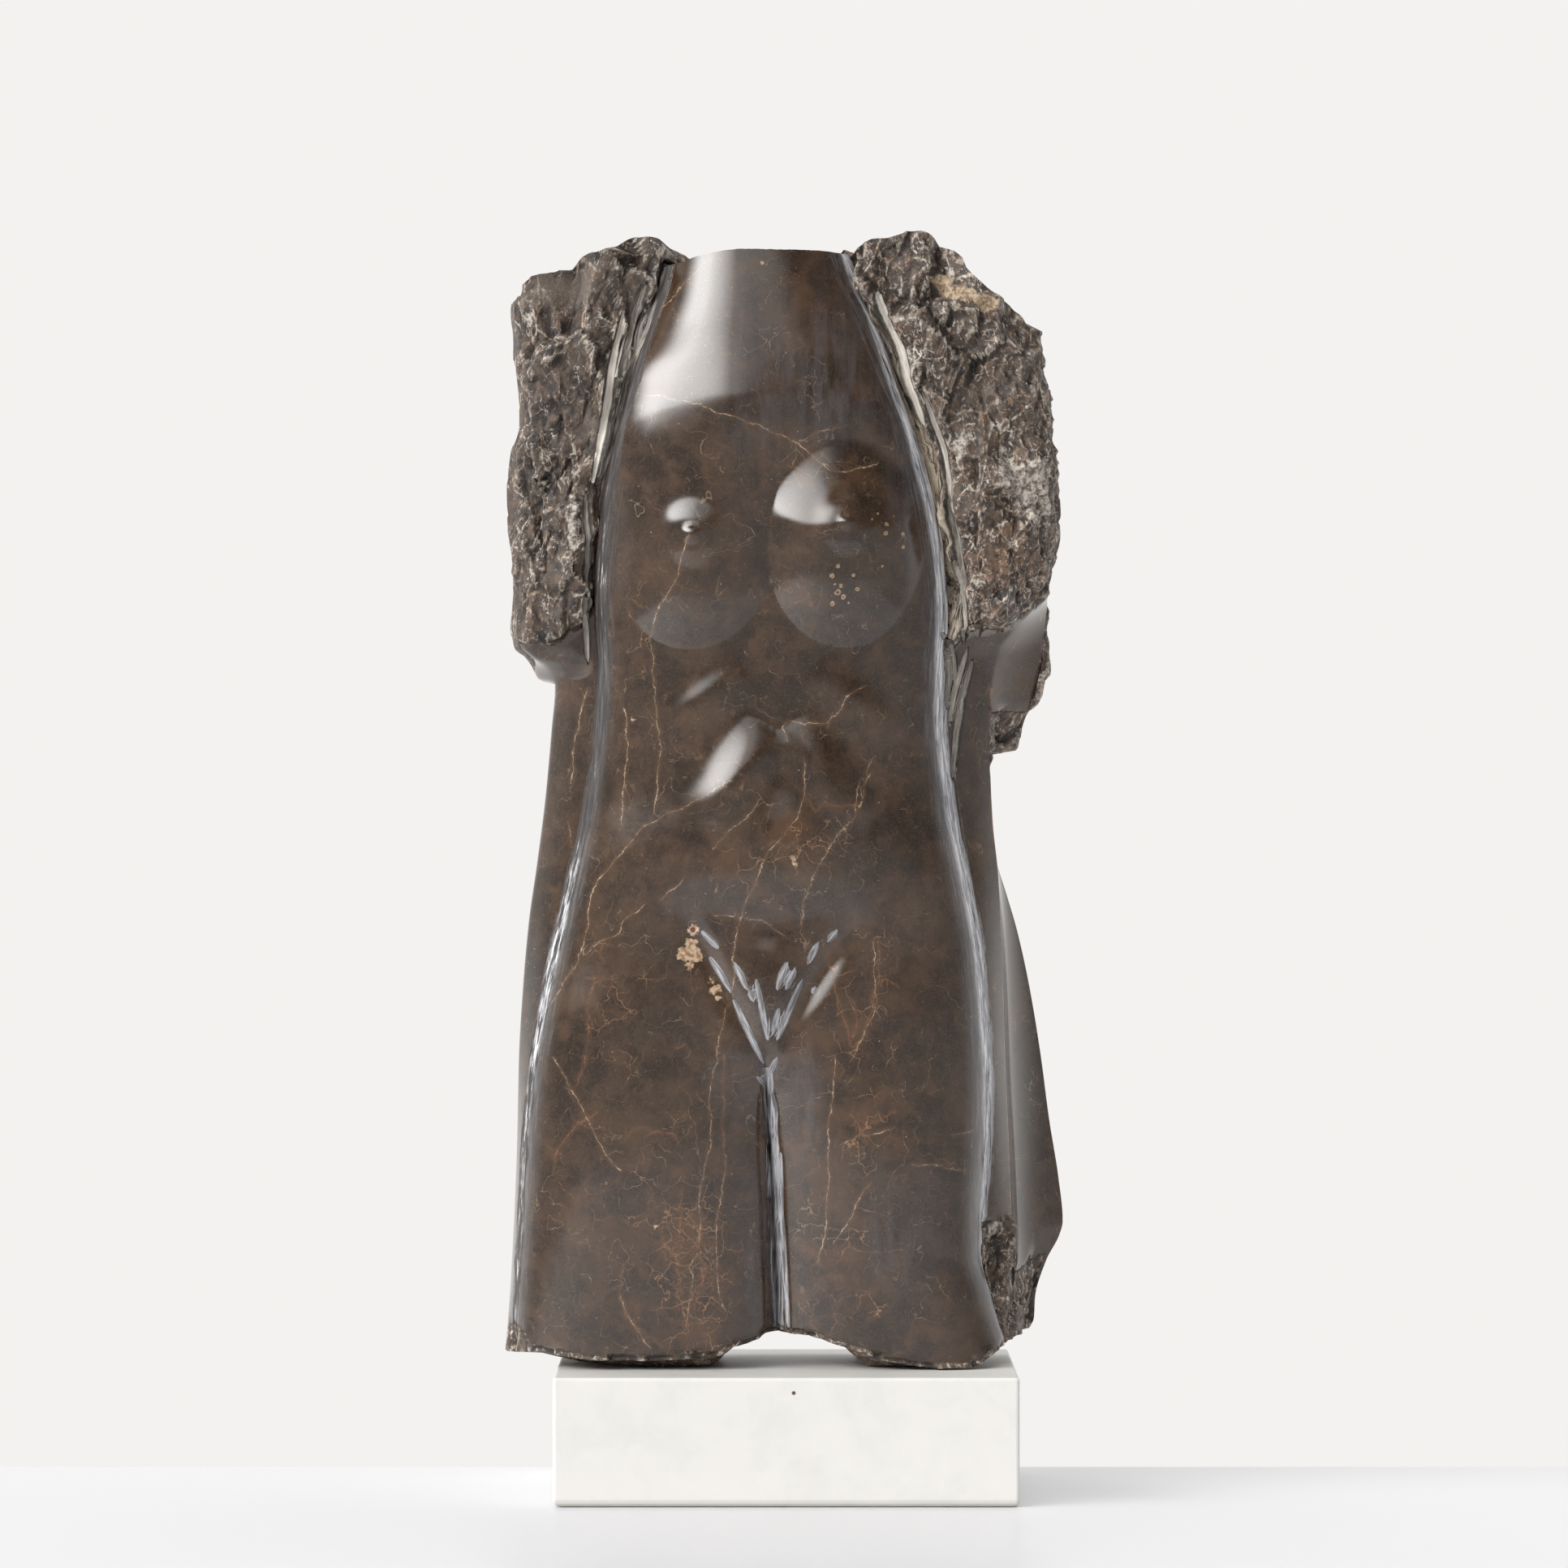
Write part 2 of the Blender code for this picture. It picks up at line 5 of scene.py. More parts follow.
import bpy
import numpy as np
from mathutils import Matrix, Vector, noise


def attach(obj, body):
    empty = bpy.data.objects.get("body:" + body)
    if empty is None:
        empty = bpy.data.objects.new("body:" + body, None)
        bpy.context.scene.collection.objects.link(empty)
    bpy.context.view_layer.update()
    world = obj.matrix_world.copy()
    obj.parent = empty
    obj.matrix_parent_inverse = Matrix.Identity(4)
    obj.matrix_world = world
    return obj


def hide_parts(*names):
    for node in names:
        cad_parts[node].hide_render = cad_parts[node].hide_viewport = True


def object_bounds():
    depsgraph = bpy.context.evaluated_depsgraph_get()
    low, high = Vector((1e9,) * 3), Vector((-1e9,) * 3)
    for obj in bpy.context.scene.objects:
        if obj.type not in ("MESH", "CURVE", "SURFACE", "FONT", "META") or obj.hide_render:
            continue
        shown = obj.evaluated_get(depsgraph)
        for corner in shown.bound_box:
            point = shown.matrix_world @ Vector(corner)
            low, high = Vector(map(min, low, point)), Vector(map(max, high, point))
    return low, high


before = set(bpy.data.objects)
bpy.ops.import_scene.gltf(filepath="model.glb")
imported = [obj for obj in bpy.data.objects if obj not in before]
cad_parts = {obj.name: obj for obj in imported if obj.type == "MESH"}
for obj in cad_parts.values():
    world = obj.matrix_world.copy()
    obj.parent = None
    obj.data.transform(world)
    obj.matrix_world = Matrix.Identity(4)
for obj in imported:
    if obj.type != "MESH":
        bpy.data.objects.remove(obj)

TORSO_HEIGHT = 0.536      # seat on the plinth to the highest point of the broken shoulder
PLINTH_WIDTH = 0.216
PLINTH_DEPTH = 0.150
PLINTH_HEIGHT = 0.060
PLINTH_EDGE = 0.0016      # worn rounding of the plinth's upright and top edges
PLINTH_CHAMFER = 0.0035   # chamfer around the plinth's underside
SEAT_GAP = 0.0003         # between the torso's feet and the plinth's top

# The torso's form is given in hundredths of its height: a level above its seat, a place across
# (+ to the viewer's right) and a depth (+ away from the viewer).
UNIT = TORSO_HEIGHT / 100

# Upright lines that the sections run through, as (level, across, depth).
BACK_MIDDLE = [(0, -0.5, 9.4), (20, -0.5, 9.9), (34, -0.5, 10.6), (46, -0.5, 9.2),
               (58, -0.5, 9.4), (75, -0.5, 10.9), (90, -0.5, 10.7), (100, -0.5, 9.8)]
BACK_LEFT = [(0, -21.0, 8.4), (20, -20.4, 9.0), (34, -19.2, 9.6), (46, -18.2, 8.8),
             (57, -17.8, 8.8), (64, -20.4, 9.4), (75, -21.2, 10.0), (90, -20.8, 9.8), (100, -20.0, 9.0)]
SIDE_LEFT = [(0, -24.0, 4.6), (20, -23.3, 5.2), (33, -22.5, 5.4), (45, -21.3, 5.2), (56, -20.1, 5.0),
             (60, -20.5, 5.2), (60.4, -22.5, 5.2), (62.2, -23.3, 5.0), (63.2, -24.5, 4.6),
             (68, -24.8, 4.4), (71, -24.6, 4.4), (74, -25.1, 4.4), (78.3, -25.0, 4.4),
             (80.5, -24.6, 4.4), (83, -23.7, 4.4), (90, -24.2, 4.4), (93.6, -24.7, 4.2), (100, -24.0, 4.0)]
FLANK_LEFT = [(0, -25.0, 0.8), (8, -24.4, 1.0), (20, -23.9, 1.2), (27, -23.8, 1.4), (33, -23.5, 1.6),
              (39, -23.0, 1.8), (44, -22.3, 2.0), (49.5, -21.6, 2.0), (56, -21.0, 2.0),
              (60.2, -20.6, 1.6), (61.4, -21.2, 0.6), (62.4, -22.6, -0.6), (64, -24.0, -1.0),
              (71, -23.9, -1.0), (75.8, -24.3, -1.0), (80.5, -24.0, -1.0), (83, -23.2, -1.0),
              (90, -23.7, -1.2), (93.6, -24.1, -1.0), (95, -23.5, -0.8), (100, -23.5, -0.4)]
GROOVE_LEFT = [(0, -24.1, -2.0), (6, -23.8, -2.0), (13, -23.4, -2.0), (20, -23.0, -1.9),
               (25, -22.5, -1.8), (29.4, -21.8, -1.7), (35.8, -20.5, -1.6), (41.6, -19.2, -1.5),
               (46, -18.2, -1.5), (51.6, -17.3, -1.5), (56, -16.9, -1.5), (61, -16.7, -1.5),
               (68, -17.0, -1.6), (74.5, -16.5, -2.0), (80.2, -15.5, -2.7), (86.7, -13.9, -2.8),
               (91, -12.7, -1.2), (95, -11.5, 0.0), (100, -10.2, 0.4)]
BODY_MIDDLE = [(0, -0.8), (4, -0.8), (15, -1.2), (27, -1.8), (34, -1.6), (46, -1.2), (63, -1.0),
               (80, -1.0), (90, -2.0), (100, -3.0)]
GROOVE_RIGHT = [(0, 20.2, -1.8), (2.2, 19.4, -1.8), (5.8, 18.3, -1.8), (10, 17.3, -1.7),
                (13, 17.3, -1.6), (20, 17.7, -1.5), (26, 17.7, -1.5), (31, 17.4, -1.5),
                (36.6, 16.9, -1.5), (41.6, 16.0, -1.5), (46, 15.1, -1.5), (51, 14.4, -1.5),
                (56, 13.9, -1.5), (60, 14.0, -1.5), (66, 14.4, -1.6), (71, 14.1, -1.7),
                (76, 13.3, -1.8), (81, 12.0, -2.0), (86, 10.2, -2.2), (91, 8.3, -2.3),
                (95, 6.5, -2.4), (100, 4.6, -2.4)]
FLANK_RIGHT = [(0, 20.4, 0.8), (1.8, 20.6, 0.8), (5.6, 20.4, 0.9), (12.8, 20.0, 1.0), (20, 19.7, 1.1),
               (27, 19.4, 1.2), (34, 19.2, 1.2), (43, 18.8, 1.2), (48, 18.3, 1.2), (53, 18.1, 1.2),
               (58, 18.1, 1.0), (62.5, 18.7, 0.4), (64.5, 20.0, 0.0), (67.8, 22.6, -0.8),
               (71, 23.5, -1.0), (79, 23.8, -1.0), (82, 23.0, -1.0), (85, 22.9, -1.0),
               (91.4, 21.9, -0.8), (100, 21.9, -0.4)]
COVE_RIGHT = [(0, 20.1, 4.5), (20, 20.1, 5.2), (34, 19.3, 5.2), (44, 18.5, 5.0), (50, 17.4, 4.8),
              (53.9, 17.6, 4.8), (54.3, 19.2, 4.2), (58, 20.0, 3.8), (63, 21.1, 3.4), (67, 22.8, 2.8),
              (71, 23.8, 2.4),
              (80, 24.1, 2.0), (90, 22.7, 2.0), (100, 22.5, 2.0)]
FIN_RIGHT = [(0, 20.4, 7.0), (1.4, 21.0, 7.0), (3.4, 22.2, 7.0), (5.2, 22.3, 7.1), (8.5, 23.3, 7.2),
             (10.8, 24.5, 7.4), (12, 24.8, 7.5), (16, 24.4, 7.6), (21, 23.6, 7.6), (27, 22.8, 7.5),
             (33, 21.8, 7.3), (38, 20.7, 7.1), (41.4, 19.7, 6.9), (44.3, 18.8, 6.8), (50, 17.6, 6.6),
             (53.5, 17.7, 6.4), (53.8, 18.8, 6.2), (54.2, 21.2, 6.0), (55.9, 21.5, 5.8),
             (57.2, 21.9, 5.6), (58.2, 22.6, 5.5), (60.3, 23.3, 5.4), (62.5, 23.8, 5.2), (70, 23.4, 5.0), (71.4, 24.0, 5.0),
             (76, 24.4, 4.8), (79, 24.4, 4.8), (81.7, 23.4, 4.8), (85, 23.5, 4.8), (90, 22.5, 4.8),
             (100, 22.3, 4.6)]
BACK_RIGHT = [(0, 18.6, 9.0), (5, 19.8, 9.4), (12, 21.8, 9.8), (20, 21.2, 9.9), (34, 19.2, 9.9),
              (44, 17.0, 9.0), (52, 16.4, 8.8), (57, 18.6, 9.0), (64, 20.8, 9.6), (75, 21.4, 10.2),
              (90, 20.4, 9.8), (100, 19.6, 9.0)]
LINES = [BACK_MIDDLE, BACK_LEFT, SIDE_LEFT, FLANK_LEFT, GROOVE_LEFT, BODY_MIDDLE,
         GROOVE_RIGHT, FLANK_RIGHT, FIN_RIGHT, BACK_RIGHT, BACK_MIDDLE]
LEFT_EDGE, LEFT_GROOVE, MIDDLE, RIGHT_GROOVE, RIGHT_EDGE = 3, 4, 5, 6, 7

# The broken rims, as (place round the section in lines passed, level).
TOP_RIM = [(0, 97.0), (0.5, 97.2), (1, 95.0), (2, 93.6), (3, 94.3), (3.08, 95.9), (3.36, 96.6),
           (3.44, 97.7), (3.64, 98.6), (3.78, 99.5), (3.93, 99.3), (4, 97.2), (4.24, 97.0),
           (4.38, 97.5), (4.53, 97.8), (4.8, 98.1), (5.64, 98.0), (6, 97.8), (6.13, 98.9),
           (6.32, 99.5), (6.35, 100), (6.53, 98.5), (6.6, 97.7), (6.63, 96.4), (6.67, 95.4),
           (6.78, 94.0), (6.9, 92.8), (7, 91.1), (8, 91.0), (9, 93.0), (9.5, 96.4), (10, 97.0)]
BOTTOM_RIM = [(0, 2.6), (0.3, 1.6), (1, 1.0), (2, 1.0), (3, 1.1), (4, 1.2), (4.06, 1.3), (4.13, 1.6),
              (4.19, 1.3), (4.43, 0.8), (4.65, 1.0), (4.72, 1.2), (4.77, 1.9), (4.86, 2.2),
              (4.93, 2.9), (5, 3.3), (5.06, 3.0), (5.215, 2.8), (5.36, 1.8),
              (5.495, 0.6), (5.637, 0.15), (5.755, 0.2), (5.843, 0.8), (5.91, 1.3), (6, 1.8),
              (7, 2.4), (8, 2.4), (9, 1.6), (9.7, 1.8), (10, 2.6)]
TOP_MIDDLE = (1.0, 4.0, 95.6)        # across, depth and level of the middle of the broken top
UNDER_MIDDLE = (-0.4, 3.2, 2.9)      # and of the hollow under the torso, between its two feet
ARCH = (0.2, 5.6)                    # middle and half width of that hollow

# Front of the body, as (level, value).
CROWN = [(0, -7.2), (12, -7.6), (22, -7.9), (30, -7.9), (37, -7.6), (44, -8.0), (52, -7.3),
         (60, -7.0), (66, -6.8), (72, -6.7), (78, -6.9), (85, -7.15), (86.5, -7.03), (88, -6.78),
         (94, -5.5), (100, -4.3)]
CHEST_LEAN = 0.04                    # how much lower the chest's slope reaches towards its left side
ROUNDNESS = [(0, 2.6), (30, 2.8), (50, 2.7), (65, 2.8), (80, 2.4), (86, 2.4), (91, 3.0), (100, 2.8)]
SHOULDERS = [(0, 0.5), (84, 0.5), (88, 0.65), (92, 0.9), (100, 0.95)]    # 0.5 full, 1 sloping
CREASE = [(0, -3.2), (12, -3.6), (20, -4.2), (25, -5.4), (28.5, -7.6), (100, -7.8)]
THIGH_TOP, THIGH_FULL = 30, 23       # the two thighs part between these levels
HIP_TOP, HIP_FULL = 52, 8            # and their outer sides turn into the hips between these

# Breasts as (across, level, half width, height, rise, how gently it slopes above).
BREASTS = [(-8.4, 72.2, 7.6, 1.5, 16.0, 1.0), (5.1, 72.4, 7.1, 2.2, 9.0, 0.0)]
BREAST_FALL = 9.2
NIPPLES = [(-8.3, 73.0), (5.3, 74.0)]
AREOLA_RADIUS, AREOLA_HEIGHT = 2.4, 0.33
NIPPLE_RADIUS, NIPPLE_HEIGHT = 0.62, 0.32

# Soft swellings of the front, as (across, level, spread across, spread up, height).
SWELLINGS = [(-1.0, 47.0, 6.5, 6.5, 0.60),       # belly
             (-1.5, 33.6, 3.8, 4.4, 0.60),       # mound
             (-11.5, 17.0, 6.0, 12.0, 0.35),     # left thigh
             (8.5, 17.0, 6.0, 12.0, 0.35),       # right thigh
             (-4.5, 84.0, 3.5, 8.0, 0.45)]       # left of the breastbone
# Soft ridges (+) and furrows (-), as (across, level) of both ends, width and height.
FOLDS = [((-10.0, 41.4), (-0.5, 38.2), 1.5, -0.20), ((-3.5, 38.2), (6.0, 40.6), 1.5, -0.20),
         ((-9.8, 41.0), (-0.9, 25.6), 1.1, -0.50), ((6.6, 40.2), (-2.4, 26.0), 1.1, -0.50),
         ((-1.6, 56.2), (-7.0, 47.4), 2.0, 0.74), ((0.4, 56.6), (6.4, 47.4), 2.0, 0.42),
         ((-3.6, 61.2), (-11.6, 55.2), 1.5, 0.28), ((2.2, 61.2), (9.8, 55.2), 1.5, 0.28)]

RIM_BLEND = 8, 80                    # the rows follow the broken rims below and above these levels


def through(points, at, value=1):
    """Smooth curve, without overshoot, through (place, value) points."""
    table = np.array([(p[0], p[value]) for p in points], float)
    place, height = table.T
    step = np.diff(place)
    slope = np.diff(height) / step
    both = slope[:-1] * slope[1:]
    middle = np.where(both > 0, 2 * both / (slope[:-1] + slope[1:] + 1e-12 * (both <= 0)), 0)
    tangent = np.concatenate([slope[:1], middle, slope[-1:]])
    i = np.clip(np.searchsorted(place, at) - 1, 0, len(place) - 2)
    t = np.clip((at - place[i]) / step[i], 0, 1)
    return (height[i] * (1 + 2 * t) * (1 - t) ** 2 + height[i + 1] * t * t * (3 - 2 * t)
            + step[i] * (tangent[i] * t * (1 - t) ** 2 - tangent[i + 1] * t * t * (1 - t)))


def ramp(value, start, end):
    """0 before start, 1 after end, smooth between."""
    t = np.clip((value - start) / (end - start), 0, 1)
    return t * t * (3 - 2 * t)


def fold(across, level, start, end, width, height):
    """A soft ridge or furrow along a straight line, fading towards its ends."""
    line = np.subtract(end, start)
    x, z = across - start[0], level - start[1]
    along = (x * line[0] + z * line[1]) / line.dot(line)
    away = (x * line[1] - z * line[0]) / np.hypot(*line)
    fade = np.sin(np.pi * np.clip(along, 0, 1)) ** 0.8
    return height * fade * np.exp(-(away / width) ** 2)


def slide(t):
    """0 at 0 and 1 at 1, an even slope that is rounded at both ends."""
    t = np.clip(t, 0, 1)
    bend = 0.2
    low, high = t * t / (2 * bend), 1 - bend - (1 - t) ** 2 / (2 * bend)
    return np.where(t < bend, low, np.where(t > 1 - bend, high, t - bend / 2)) / (1 - bend)


def breast(across, level, middle, height, half_width, full, rise, gentle):
    """A full breast: a soft slope above, a firmer edge below."""
    side, up = (across - middle) / half_width, level - height
    above = up / np.where(up > 0, rise, BREAST_FALL)
    away = np.hypot(side, above)
    softness = 0.9 + 0.8 * ramp(above / (away + 0.001), 0.2, 0.9)
    dome = np.clip(1 - away ** 2, 0, 1) ** softness
    sloped = np.clip(1 - side ** 2, 0, 1) ** 0.9 * (1 - slide(up / rise))
    return full * np.where(up > 0, dome + gentle * (sloped - dome), dome)


def body_front(across, level):
    """Depth of the polished front of the body."""
    middle = through(BODY_MIDDLE, level)
    left, right = through(GROOVE_LEFT, level), through(GROOVE_RIGHT, level)
    floor = np.where(across < middle, through(GROOVE_LEFT, level, 2), through(GROOVE_RIGHT, level, 2))
    share = np.where(across < middle, (middle - across) / (middle - left),
                     (across - middle) / (right - middle))
    share = np.clip(share, 0, 1)
    lean = CHEST_LEAN * np.clip(-5.5 - across, 0, 12) ** 2 * ramp(level, 77, 83)
    crown = through(CROWN, level + lean)
    power = through(ROUNDNESS, level)
    trunk = floor + (crown - floor) * np.clip(1 - share ** power, 0, 1) ** through(SHOULDERS, level)
    crease = through(CREASE, level)
    beside = np.where(share < 0.5, crease, floor)
    lobe = np.clip(1 - np.abs(2 * share - 1) ** 2.8, 0, 1)
    thigh = beside + (crown - beside) * np.sqrt(lobe)
    inner = 1 - ramp(level, THIGH_FULL, THIGH_TOP)
    outer = 1 - ramp(level, HIP_FULL, HIP_TOP)
    legs = inner + (outer - inner) * ramp(share, 0.35, 0.62)
    depth = trunk * (1 - legs) + thigh * legs
    relief = np.maximum(*[breast(across, level, *b) for b in BREASTS])
    for x, z in NIPPLES:
        away = np.hypot(across - x, level - z)
        relief = (relief + AREOLA_HEIGHT * np.exp(-(away / AREOLA_RADIUS) ** 4)
                  + NIPPLE_HEIGHT * np.exp(-(away / NIPPLE_RADIUS) ** 3))
    for x, z, wide, high, height in SWELLINGS:
        relief = relief + height * np.exp(-((across - x) / wide) ** 2 - ((level - z) / high) ** 2)
    for start, end, width, height in FOLDS:
        relief = relief + fold(across, level, start, end, width, height)
    return depth - relief * ramp(1 - share, 0.0, 0.25)


def crisscross(place, level):
    """Where the block is rough, from 0 to 1, by the place round the section and the level."""
    t = place % 1
    part = place.astype(int)
    wave = 0.8 * np.sin(place * 9.0) + 0.5 * np.sin(place * 23.0 + 1.0)
    lower = np.select(
        [part == 2, part == 3, part == 6, part == 7],
        [61.0 + 1.5 * t, 63.4 + 3.6 * t ** 3, through([(0, 62), (0.25, 64.3), (0.8, 64.8), (1, 66)], t),
         66.5 + 3.0 * t], 61.0 + wave)
    rough = ramp(level, lower - 0.4, lower + 0.4)
    rough = np.where((part == 4) | (part == 5), 0, rough)
    stump = (part == 7) * ramp(level, 52, 53.5) * (1 - ramp(level, 56.5, 58.5) * ramp(0.9 - t, 0, 0.15))
    corner = (part == 6) * (1 - ramp(level, 12.2, 12.8)) + (part == 7) * (1 - ramp(level, 6, 8 + 4 * t))
    return np.clip(np.maximum(rough, np.maximum(stump, corner)), 0, 1)


def section(place, level):
    """A point of the outer surface, across and depth, before the stone is broken."""
    part = np.clip(place.astype(int), 0, len(LINES) - 2)
    t = place - part
    across, depth = np.zeros_like(level), np.zeros_like(level)
    rough = crisscross(place, level)
    for i, (first, second) in enumerate(zip(LINES, LINES[1:])):
        here = part == i
        z, s = level[here], t[here]
        x0, x1 = through(first, z), through(second, z)
        if i in (LEFT_GROOVE, MIDDLE):
            s = s - 0.35 * np.sin(2 * np.pi * s) / (2 * np.pi)
            across[here] = x0 + (x1 - x0) * s
            depth[here] = body_front(across[here], z)
            continue
        y0, y1 = through(first, z, 2), through(second, z, 2)
        x, y = x0 + (x1 - x0) * s, y0 + (y1 - y0) * s
        if i == RIGHT_EDGE:
            bend = 2 * s * (1 - s)
            x = x + bend * (through(COVE_RIGHT, z) - (x0 + x1) / 2)
            y = y + bend * (through(COVE_RIGHT, z, 2) - (y0 + y1) / 2)
        if i in (LEFT_EDGE, RIGHT_GROOVE):
            stone = {LEFT_EDGE: 1.6, RIGHT_GROOVE: 2.4}[i] * ramp(level[here], 40, 60)
            hump = np.clip(4 * s * (1 - s), 0, 1)
            y = y - stone * rough[here] * hump ** 0.6 - 0.30 * (1 - rough[here]) * hump
        if i in (0, 9):
            y = y + 1.1 * np.sin(np.pi * s) * ramp(level[here], 8, 30)
        across[here], depth[here] = x, y
    return across, depth


FACET_SLOPE, FACET_RISE, FACET_STEP = 1.5, 0.25, 0.14


def facets(points, size):
    """Broken stone: how far each point stands out, on flat facets of about this size."""
    out = np.empty(len(points))
    for i, point in enumerate(points):
        spot = Vector(point) / size
        away, near = noise.voronoi(spot)
        first, second = (tilt.dot(spot - centre) * FACET_SLOPE + tilt.x * FACET_RISE
                         for centre in near[:2]
                         for tilt in [noise.cell_vector(centre * 7.3) - Vector((0.5, 0.5, 0.5))])
        step = min(1.0, (away[1] - away[0]) / FACET_STEP)
        out[i] = size * (first + second + (first - second) * step) / 2
    return out


def rounded(sides, place):
    """Rounds the corners of each section, apart from the crisp ones."""
    crisp = [LEFT_GROOVE, MIDDLE, RIGHT_GROOVE]
    soft = np.ones(len(place))
    for line in crisp:
        soft *= 1 - np.exp(-((place - line) / 0.12) ** 2)
    soft *= ((place < LEFT_GROOVE) | (place > RIGHT_GROOVE))
    soft = soft[None, :, None] * np.ones_like(sides[..., :1])
    level = sides[..., 2:]
    edge = np.exp(-((place - RIGHT_EDGE) / 0.1) ** 2)[None, :, None] * (1 - ramp(level, 60, 64))
    edge = np.maximum(edge, np.exp(-((place - 8) / 0.15) ** 2)[None, :, None] * (1 - ramp(level, 48, 52)))
    soft = soft * (1 - edge)
    for _ in range(14):
        mean = (np.roll(sides, 1, 1) + np.roll(sides, -1, 1)) / 2
        sides = sides + 0.5 * soft * (mean - sides) * (1, 1, 0)
    return sides


def outwards(sides):
    """Unit vector out of the surface at each point of the sides."""
    along = np.roll(sides, -1, 1) - np.roll(sides, 1, 1)
    up = np.gradient(sides, axis=0)
    normal = np.cross(along, up)
    return normal / np.linalg.norm(normal, axis=2, keepdims=True)


# Finer mesh of the torso than the solids have: spans of a section, rows and rings.
SPANS = [24, 12, 12, 46, 66, 66, 56, 22, 12, 24]
ROW_LEVELS = [(0, 0), (38, 12.5), (64, 26), (98, 38.5), (126, 52.8), (134, 54.6), (148, 60),
              (166, 65), (204, 77), (268, 100)]
RINGS = 9
MM = 0.1 / UNIT / 100                # a millimetre in hundredths of the torso's height

# Veins, chisel strokes and fossils of the front, as lines of (across, level).
PALE_VEINS = [
    [(-16.1, 86.3), (-13.5, 85.5), (-9.8, 84.8), (-7.9, 84.4), (-5.7, 83.5), (-3.7, 82.8),
     (-1.8, 82.2), (-0.1, 81.5), (0.8, 81), (2.9, 81.9), (4.6, 82.3)],
    [(0.8, 81), (2.2, 79.8), (3.6, 78.7), (5.4, 78.4), (7.9, 79.2)],
    [(-6.7, 97.3), (-8.8, 95.4), (-10.2, 93.8), (-11.1, 93)],
    [(-8.6, 72.8), (-9.5, 69.3), (-10.6, 67.2), (-11.7, 65.5), (-11.8, 63.6), (-11.6, 60.9),
     (-11.3, 57.3), (-11.1, 54.6)],
    [(-17.6, 59.5), (-18.2, 57.3), (-18.5, 55.6), (-18.8, 53.7), (-18.9, 51.4)],
    [(-19.2, 47.6), (-19, 45.8)],
    [(-4.8, 51.4), (-7, 50.2), (-9, 49.1), (-12.3, 47.5), (-13.9, 45.8), (-15.3, 44),
     (-16.3, 42.9), (-17.1, 41.3), (-17.3, 39.2), (-17.7, 37), (-18.3, 35.4), (-19.1, 34.2),
     (-19.8, 33.2), (-20.9, 31.5), (-21.9, 30)],
    [(-2.4, 49.8), (-3.4, 48.2), (-5, 47.1), (-6.2, 45.6)],
    [(-9, 42.8), (-10.8, 41.2)],
    [(-12.5, 40.4), (-13.5, 39.7), (-14.2, 39.1), (-14.4, 39.9), (-14.3, 38.3), (-16.6, 37.1),
     (-17.5, 36.3)],
    [(1.6, 53.2), (1.5, 49.6), (1.1, 48.4), (-0.8, 46), (-2, 44.5), (-2.6, 42.9), (-3.1, 41.7),
     (-4, 39.7), (-4.4, 37.9), (-4.6, 35.1), (-4.7, 32.8)],
    [(-14, 57.6), (-13.9, 53.2), (-14.3, 49.6), (-14.5, 47.8)],
    [(-11.3, 57.6), (-11.1, 54.1), (-11.4, 48.9)],
    [(6.8, 59.5), (5.2, 58.8), (4.5, 57.5), (3.6, 56.4), (1.7, 56.4), (0.3, 56.8), (-0.3, 56),
     (0, 55.3)],
    [(7.7, 53.4), (6.1, 50.4), (6, 48.5), (4.6, 46.8), (3.3, 44.8), (2.6, 43.6), (2, 42),
     (1.6, 41), (1.2, 39)],
    [(7.5, 52.3), (5.9, 48), (4, 45.9), (2.4, 43.2)],
    [(-5, 31.9), (-5.7, 29.5), (-6.1, 26.6), (-6.6, 24.7), (-6.6, 22), (-6.5, 20), (-7.2, 17.5),
     (-7.6, 14.8), (-7.4, 13.3), (-7.5, 11)],
    [(-5.2, 18.6), (-5.4, 16.6), (-6.1, 13), (-6.2, 10.3), (-6, 7.6), (-5.4, 5.4)],
    [(4.3, 27.3), (4.1, 24), (3.7, 21.1), (3.6, 17.9), (3.6, 15.7), (3.3, 11.8), (2.9, 9.6)],
    [(7.3, 16.3), (6.5, 15.1), (5.9, 14.3), (5.4, 12.6), (4.3, 11.2)],
    [(11.1, 17.9), (13.1, 17.8), (15.5, 17.3)],
    [(7.7, 37.4), (7.6, 34.6), (7.9, 32.4), (7.3, 30.2), (6.3, 28.2), (5.7, 27.2)],
    [(14.6, 20.4), (15.7, 20.5), (16.4, 20.9)],
    [(-6.3, 39.7), (-4.5, 39.5), (-2, 39.2), (-1, 38.4), (-0.3, 38.1)],
    [(-20.3, 27.1), (-19.1, 25), (-17.6, 22.4), (-16.6, 20.5), (-15.4, 18.4), (-14.5, 17.6)],
    [(4.9, 19.7), (6.1, 20.3), (8.9, 21.2)],
    [(-8.8, 4.1), (-8.4, 6.2), (-8.1, 8), (-8.4, 9.1), (-7.6, 10.1)],
    [(-14.5, 6.2), (-13.7, 4.5), (-12.5, 2.7), (-12.1, 2)]]
